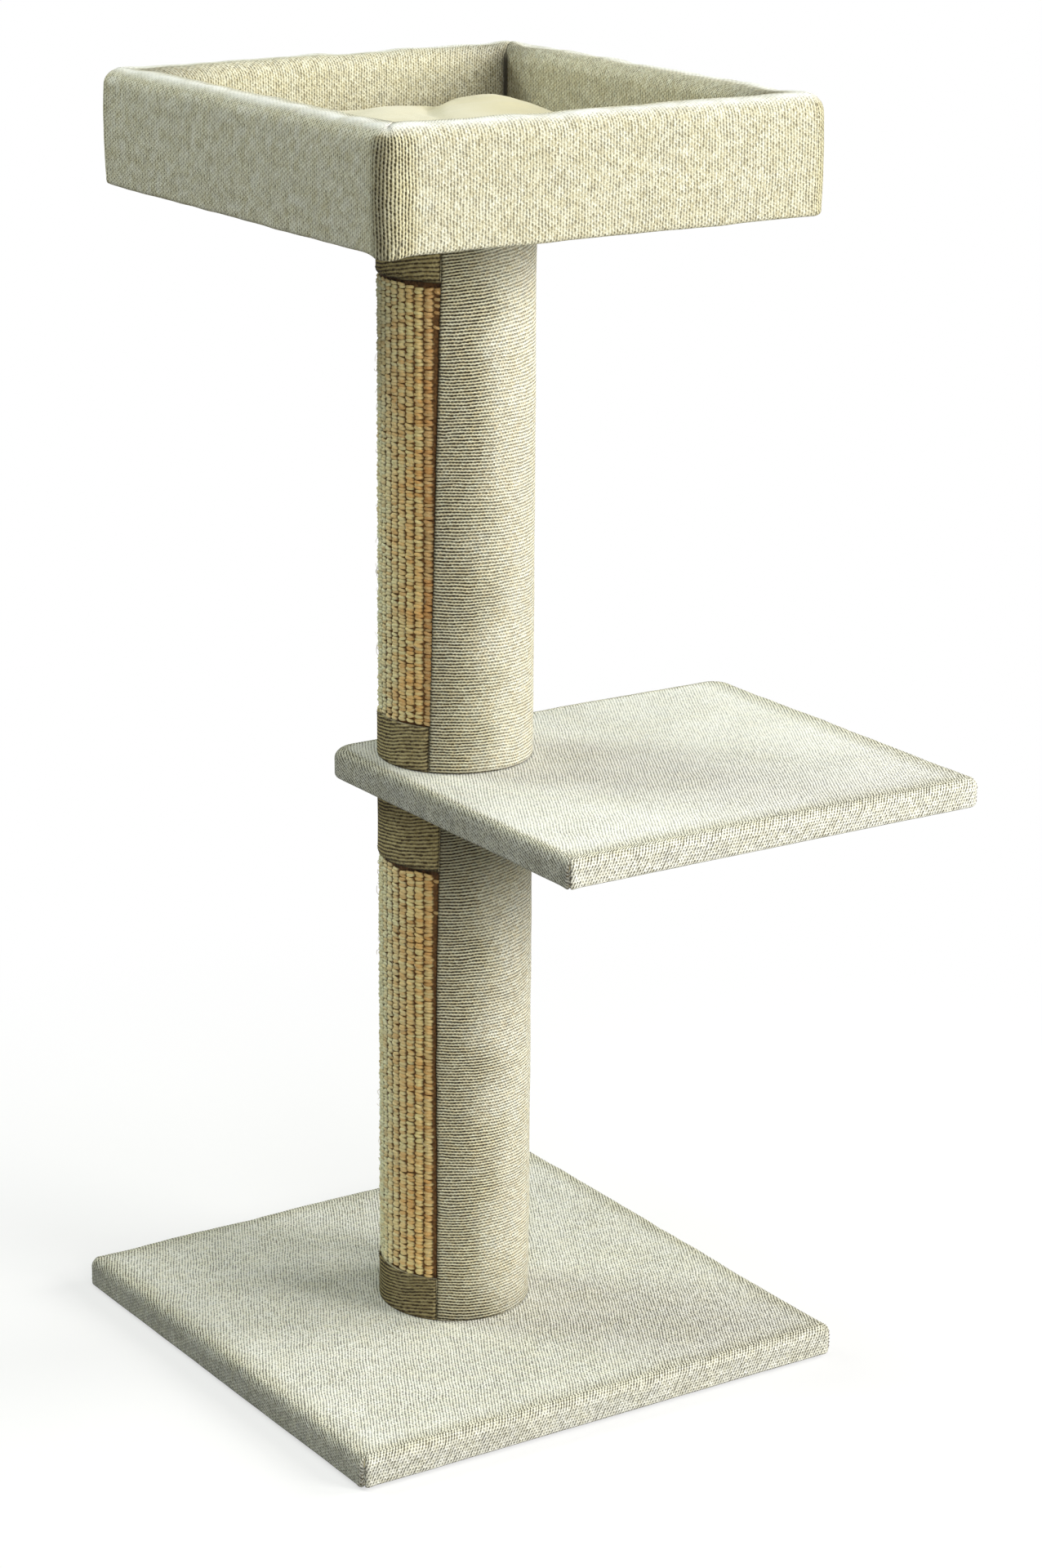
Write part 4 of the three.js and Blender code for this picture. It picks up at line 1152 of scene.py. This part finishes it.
def corner_stitches(piece, node, radii, seed):
    """Stitches across the fold at each outside corner of a slab's cover."""
    low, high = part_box(node)
    plan = Plan(low, high, radii)
    spots, ways = [], []
    for k in range(4):
        across = radians(90 * k + 45)
        for z in np.arange(low.z + 5 * MM, high.z - 6 * MM, 3.6 * MM):
            spots.append((*plan.corner_point(k, 0.5, 0), z))
            ways.append((cos(across), sin(across), dice.normal(0.35, 0.1)))
    return lay_lengths(f"corners_{seed}", piece, spots, ways, Seed=seed, Length=4.4 * MM,
                       Rise=0.6 * MM, Thickness=0.32 * MM)


def inner_corner_stitches():
    """Two rows down each inside corner of the tray, one on either side of the seam."""
    low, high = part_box("tray_cover")
    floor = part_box("cushion")[0].z
    spots = []
    for sx, sy in Plan.CORNERS:
        x = (high.x if sx > 0 else low.x) - sx * WALL
        y = (high.y if sy > 0 else low.y) - sy * WALL
        for z in np.arange(floor + 8 * MM, high.z - RIM - 2 * MM, 5.0 * MM):
            spots += [(x, y - sy * 4 * MM, z), (x - sx * 4 * MM, y, z)]
    return lay_lengths("inner_rows", tray_cover, spots, [(0, 0, 1)] * len(spots), Seed=8,
                       Length=3.6 * MM, Thickness=0.32 * MM)


def staples(name, node, body, seed):
    """Wire staples round the edge of a lining, clear of the post."""
    low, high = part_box(node)
    inset, pitch = 7 * MM, 36 * MM
    spots, ways = [], []
    for axis in (0, 1):
        start, end = low[axis] + inset, high[axis] - inset
        for edge in (low[1 - axis] + inset, high[1 - axis] - inset):
            for along in np.linspace(start, end, int((end - start) / pitch) + 1)[:-1] + pitch * 0.3:
                spot, way = [0, 0, low.z], [0, 0, 0]
                spot[axis], spot[1 - axis] = along, edge + dice.normal(0, 0.8 * MM)
                if np.hypot(spot[0], spot[1]) > 78 * MM:
                    way[axis], way[1 - axis] = 1, dice.normal(0, 0.18)
                    spots.append(spot)
                    ways.append(way)
    mesh = lay_lengths(name, bpy.data.objects[node], spots, ways, Seed=seed, Length=11 * MM,
                       Rise=0.7 * MM, Thickness=0.45 * MM, Spread=0.02, Finish=steel)
    lengths_piece(name, [mesh], body)


post_threads.append(corner_stitches(base_cloth, "base_cover", BASE_RADII, 5))
lengths_piece("post_stitching", post_threads, "post_column")
lengths_piece("platform_stitching", [
    corner_stitches(platform_cloth, "platform_cover", PLATFORM_RADII, 6)], "platform")
lengths_piece("tray_stitching", [inner_corner_stitches()], "tray")
staples("platform_staples", "platform_lining", "platform", 9)
staples("tray_staples", "tray_lining", "tray", 10)

# ---------------------------------------------------------------- cushion

CUSHION_VOXEL = 5 * MM
FILL_LIMIT = 9 * MM           # how far the filling may move the cover
ROOM_X, ROOM_Y = 173.5 * MM, 191.5 * MM


def apply_modifier(piece, name):
    with bpy.context.temp_override(object=piece, active_object=piece, selected_objects=[piece]):
        bpy.ops.object.modifier_apply(modifier=name)


def cushion_blank(low, high):
    """The cushion before it is filled: a copy of its solid, a little smaller, ready to swell."""
    mesh = nodes["cushion"].data.copy()
    blank = bpy.data.objects.new("cushion_pad", mesh)
    scene.collection.objects.link(blank)
    work = bmesh.new()
    work.from_mesh(mesh)
    bmesh.ops.remove_doubles(work, verts=work.verts, dist=1e-5)
    centre = Vector(((low.x + high.x) / 2, (low.y + high.y) / 2, low.z))
    for vertex in work.verts:
        part = vertex.co - centre
        vertex.co = centre + Vector((part.x * 0.965, part.y * 0.968, 2 * MM + part.z * 0.86))
    bmesh.ops.recalc_face_normals(work, faces=work.faces)
    work.to_mesh(mesh)
    work.free()
    remesh = blank.modifiers.new("voxels", "REMESH")
    remesh.mode = "VOXEL"
    remesh.voxel_size = CUSHION_VOXEL
    remesh.use_smooth_shade = True
    apply_modifier(blank, "voxels")
    return blank


def filled_points(blank):
    """Where the blank's points come to when cloth under pressure swells, within FILL_LIMIT."""
    rest = np.array([v.co for v in blank.data.vertices])
    cloth = blank.modifiers.new("fill", "CLOTH")
    for name, value in (("use_pressure", True), ("uniform_pressure_force", 4.0),
                        ("tension_stiffness", 12), ("compression_stiffness", 12),
                        ("bending_stiffness", 0.6), ("mass", 0.3), ("quality", 6)):
        setattr(cloth.settings, name, value)
    cloth.settings.effector_weights.gravity = 0
    for step in range(1, 21):
        scene.frame_set(step)
    evaluated = blank.evaluated_get(bpy.context.evaluated_depsgraph_get())
    move = np.array([v.co for v in evaluated.data.vertices]) - rest
    blank.modifiers.remove(cloth)
    scene.frame_set(1)
    length = np.linalg.norm(move, axis=1, keepdims=True)
    return rest + move * np.minimum(1, FILL_LIMIT / np.maximum(length, 1e-9))


def make_cushion():
    low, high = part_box("cushion")
    pad = cushion_blank(low, high)
    points = filled_points(pad)
    x, y, z = points.T
    upper = smoothstep(low.z + 14 * MM, low.z + 34 * MM, z)
    # the stuffing has settled into a near lobe and a higher far one, with a fold between them; across
    # and away are measured as the camera sees them
    across = 0.839 * x - 0.545 * y
    away = 0.545 * x + 0.839 * y
    bend = 6 * MM * np.sin(away / (26 * MM))
    near_lobe = bell(across, 40 * MM, -45 * MM) * bell(away, 45 * MM, 10 * MM)
    far_lobe = bell(across, 52 * MM, 26 * MM) * bell(away, 55 * MM, 80 * MM)
    far_lobe = far_lobe * smoothstep(-34 * MM, 2 * MM, across + bend)
    fold = bell(across + bend, 6 * MM, -17 * MM) * bell(away, 60 * MM, 55 * MM)
    dent = 0.10 * bell(x, 80 * MM) * bell(y, 80 * MM)
    folds = soft_noise(points * np.array([1, 1, 0.5]), 46 * MM, 61) * 2.2 * MM
    folds += np.abs(soft_noise(points * np.array([0.5, 1.2, 0.5]), 24 * MM, 62)) * -2.0 * MM
    folds += soft_noise(points, 11 * MM, 63) * 0.4 * MM
    z = low.z + (z - low.z) * (1 - upper * dent)
    z = z + upper * (folds - 8.0 * MM - fold * 4.5 * MM + near_lobe * 4.0 * MM + far_lobe * 10.0 * MM)
    shape = np.clip(np.column_stack([x, y, z]), (-ROOM_X, -ROOM_Y, low.z),
                    (ROOM_X, ROOM_Y, high.z + 4 * MM))
    pad.data.vertices.foreach_set("co", shape.astype(np.float32).ravel())
    pad.data.update()
    smooth = pad.modifiers.new("round", "SUBSURF")
    smooth.levels = smooth.render_levels = 1
    apply_modifier(pad, "round")
    pad.data.materials.clear()
    pad.data.materials.append(cream)
    pad.data.shade_smooth()
    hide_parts("cushion")
    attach(pad, "loose_cushion")


make_cushion()

# ---------------------------------------------------------------- floor, backdrop and studio light

FLOOR_REACH = 30.0
FLOOR_DROP = 0.3 * MM         # keeps the floor clear of the part's own underside
LAMP_DISTANCE = 4.0
LAMP_AIM = Vector((0, 0, 0.6))


def lay_floor():
    """A white floor that fades into the backdrop and still takes the part's soft shadow."""
    ground = bpy.data.meshes.new("floor")
    r = FLOOR_REACH
    ground.from_pydata([(-r, -r, 0), (r, -r, 0), (r, r, 0), (-r, r, 0)], [], [(0, 1, 2, 3)])
    floor = bpy.data.objects.new("floor", ground)
    floor.location.z = -FLOOR_DROP
    scene.collection.objects.link(floor)
    g = Finish("floor_paper")
    seen = g.seen()
    g.dress(g.paint((0.3, 0.3, 0.29, 1), (seen, (0.97, 0.97, 0.97, 1))), 0.95, Specular_IOR_Level=0.0)
    white = g.add("ShaderNodeEmission", Color=(1, 1, 1, 1), Strength=1.0)
    x, y, _ = g.split(g.place())
    away = (x * x + y * y).root().ramp(0.35, 1.15)
    mixed = g.add("ShaderNodeMixShader", in_0=seen * (0.6 + away * 0.4),
                  in_1=Socket(g.tree, g.shader.outputs[0]), in_2=white)
    g.tree.links.new(mixed.output, g.output.inputs[0])
    ground.materials.append(g.material)


def light_world():
    """White where it is seen, and a weak cool fill for the part."""
    scene.world = bpy.data.worlds.new("studio")
    scene.world.use_nodes = True
    scene.world.node_tree.nodes.clear()
    g = Graph(scene.world.node_tree)
    fill = g.add("ShaderNodeBackground", Color=(0.95, 0.98, 1.0, 1), Strength=0.08)
    white = g.add("ShaderNodeBackground", Color=(1, 1, 1, 1), Strength=1.0)
    both = g.add("ShaderNodeMixShader", in_0=g.seen(), in_1=fill, in_2=white)
    g.tree.links.new(both.output, g.add("ShaderNodeOutputWorld", out=None).inputs[0])


def lamp(name, azimuth, elevation, size, share, colour):
    """An area lamp; share is the brightness that it alone gives to a white surface that faces it."""
    data = bpy.data.lights.new(name, "AREA")
    data.shape = "DISK"
    data.size = size
    data.energy = share * pi * pi * LAMP_DISTANCE ** 2
    data.color = colour
    lamp_object = bpy.data.objects.new(name, data)
    a, e = radians(azimuth), radians(elevation)
    towards = Vector((sin(a) * cos(e), -cos(a) * cos(e), sin(e)))
    lamp_object.location = LAMP_AIM + towards * LAMP_DISTANCE
    lamp_object.rotation_mode = "QUATERNION"
    lamp_object.rotation_quaternion = towards.to_track_quat("Z", "Y")
    scene.collection.objects.link(lamp_object)


lay_floor()
light_world()
WARM = (1.0, 0.99, 0.955)
lamp("key_lamp", 32, 20, 1.8, 0.74, WARM)
lamp("right_lamp", 70, 20, 1.8, 0.54, WARM)
lamp("front_lamp", -20, 18, 1.8, 0.31, WARM)
lamp("back_lamp", -142, 40, 1.4, 0.44, (0.92, 1.0, 0.91))
lamp("top_lamp", 0, 82, 1.6, 0.28, (0.97, 1.0, 0.99))
scene.view_settings.view_transform = "Standard"
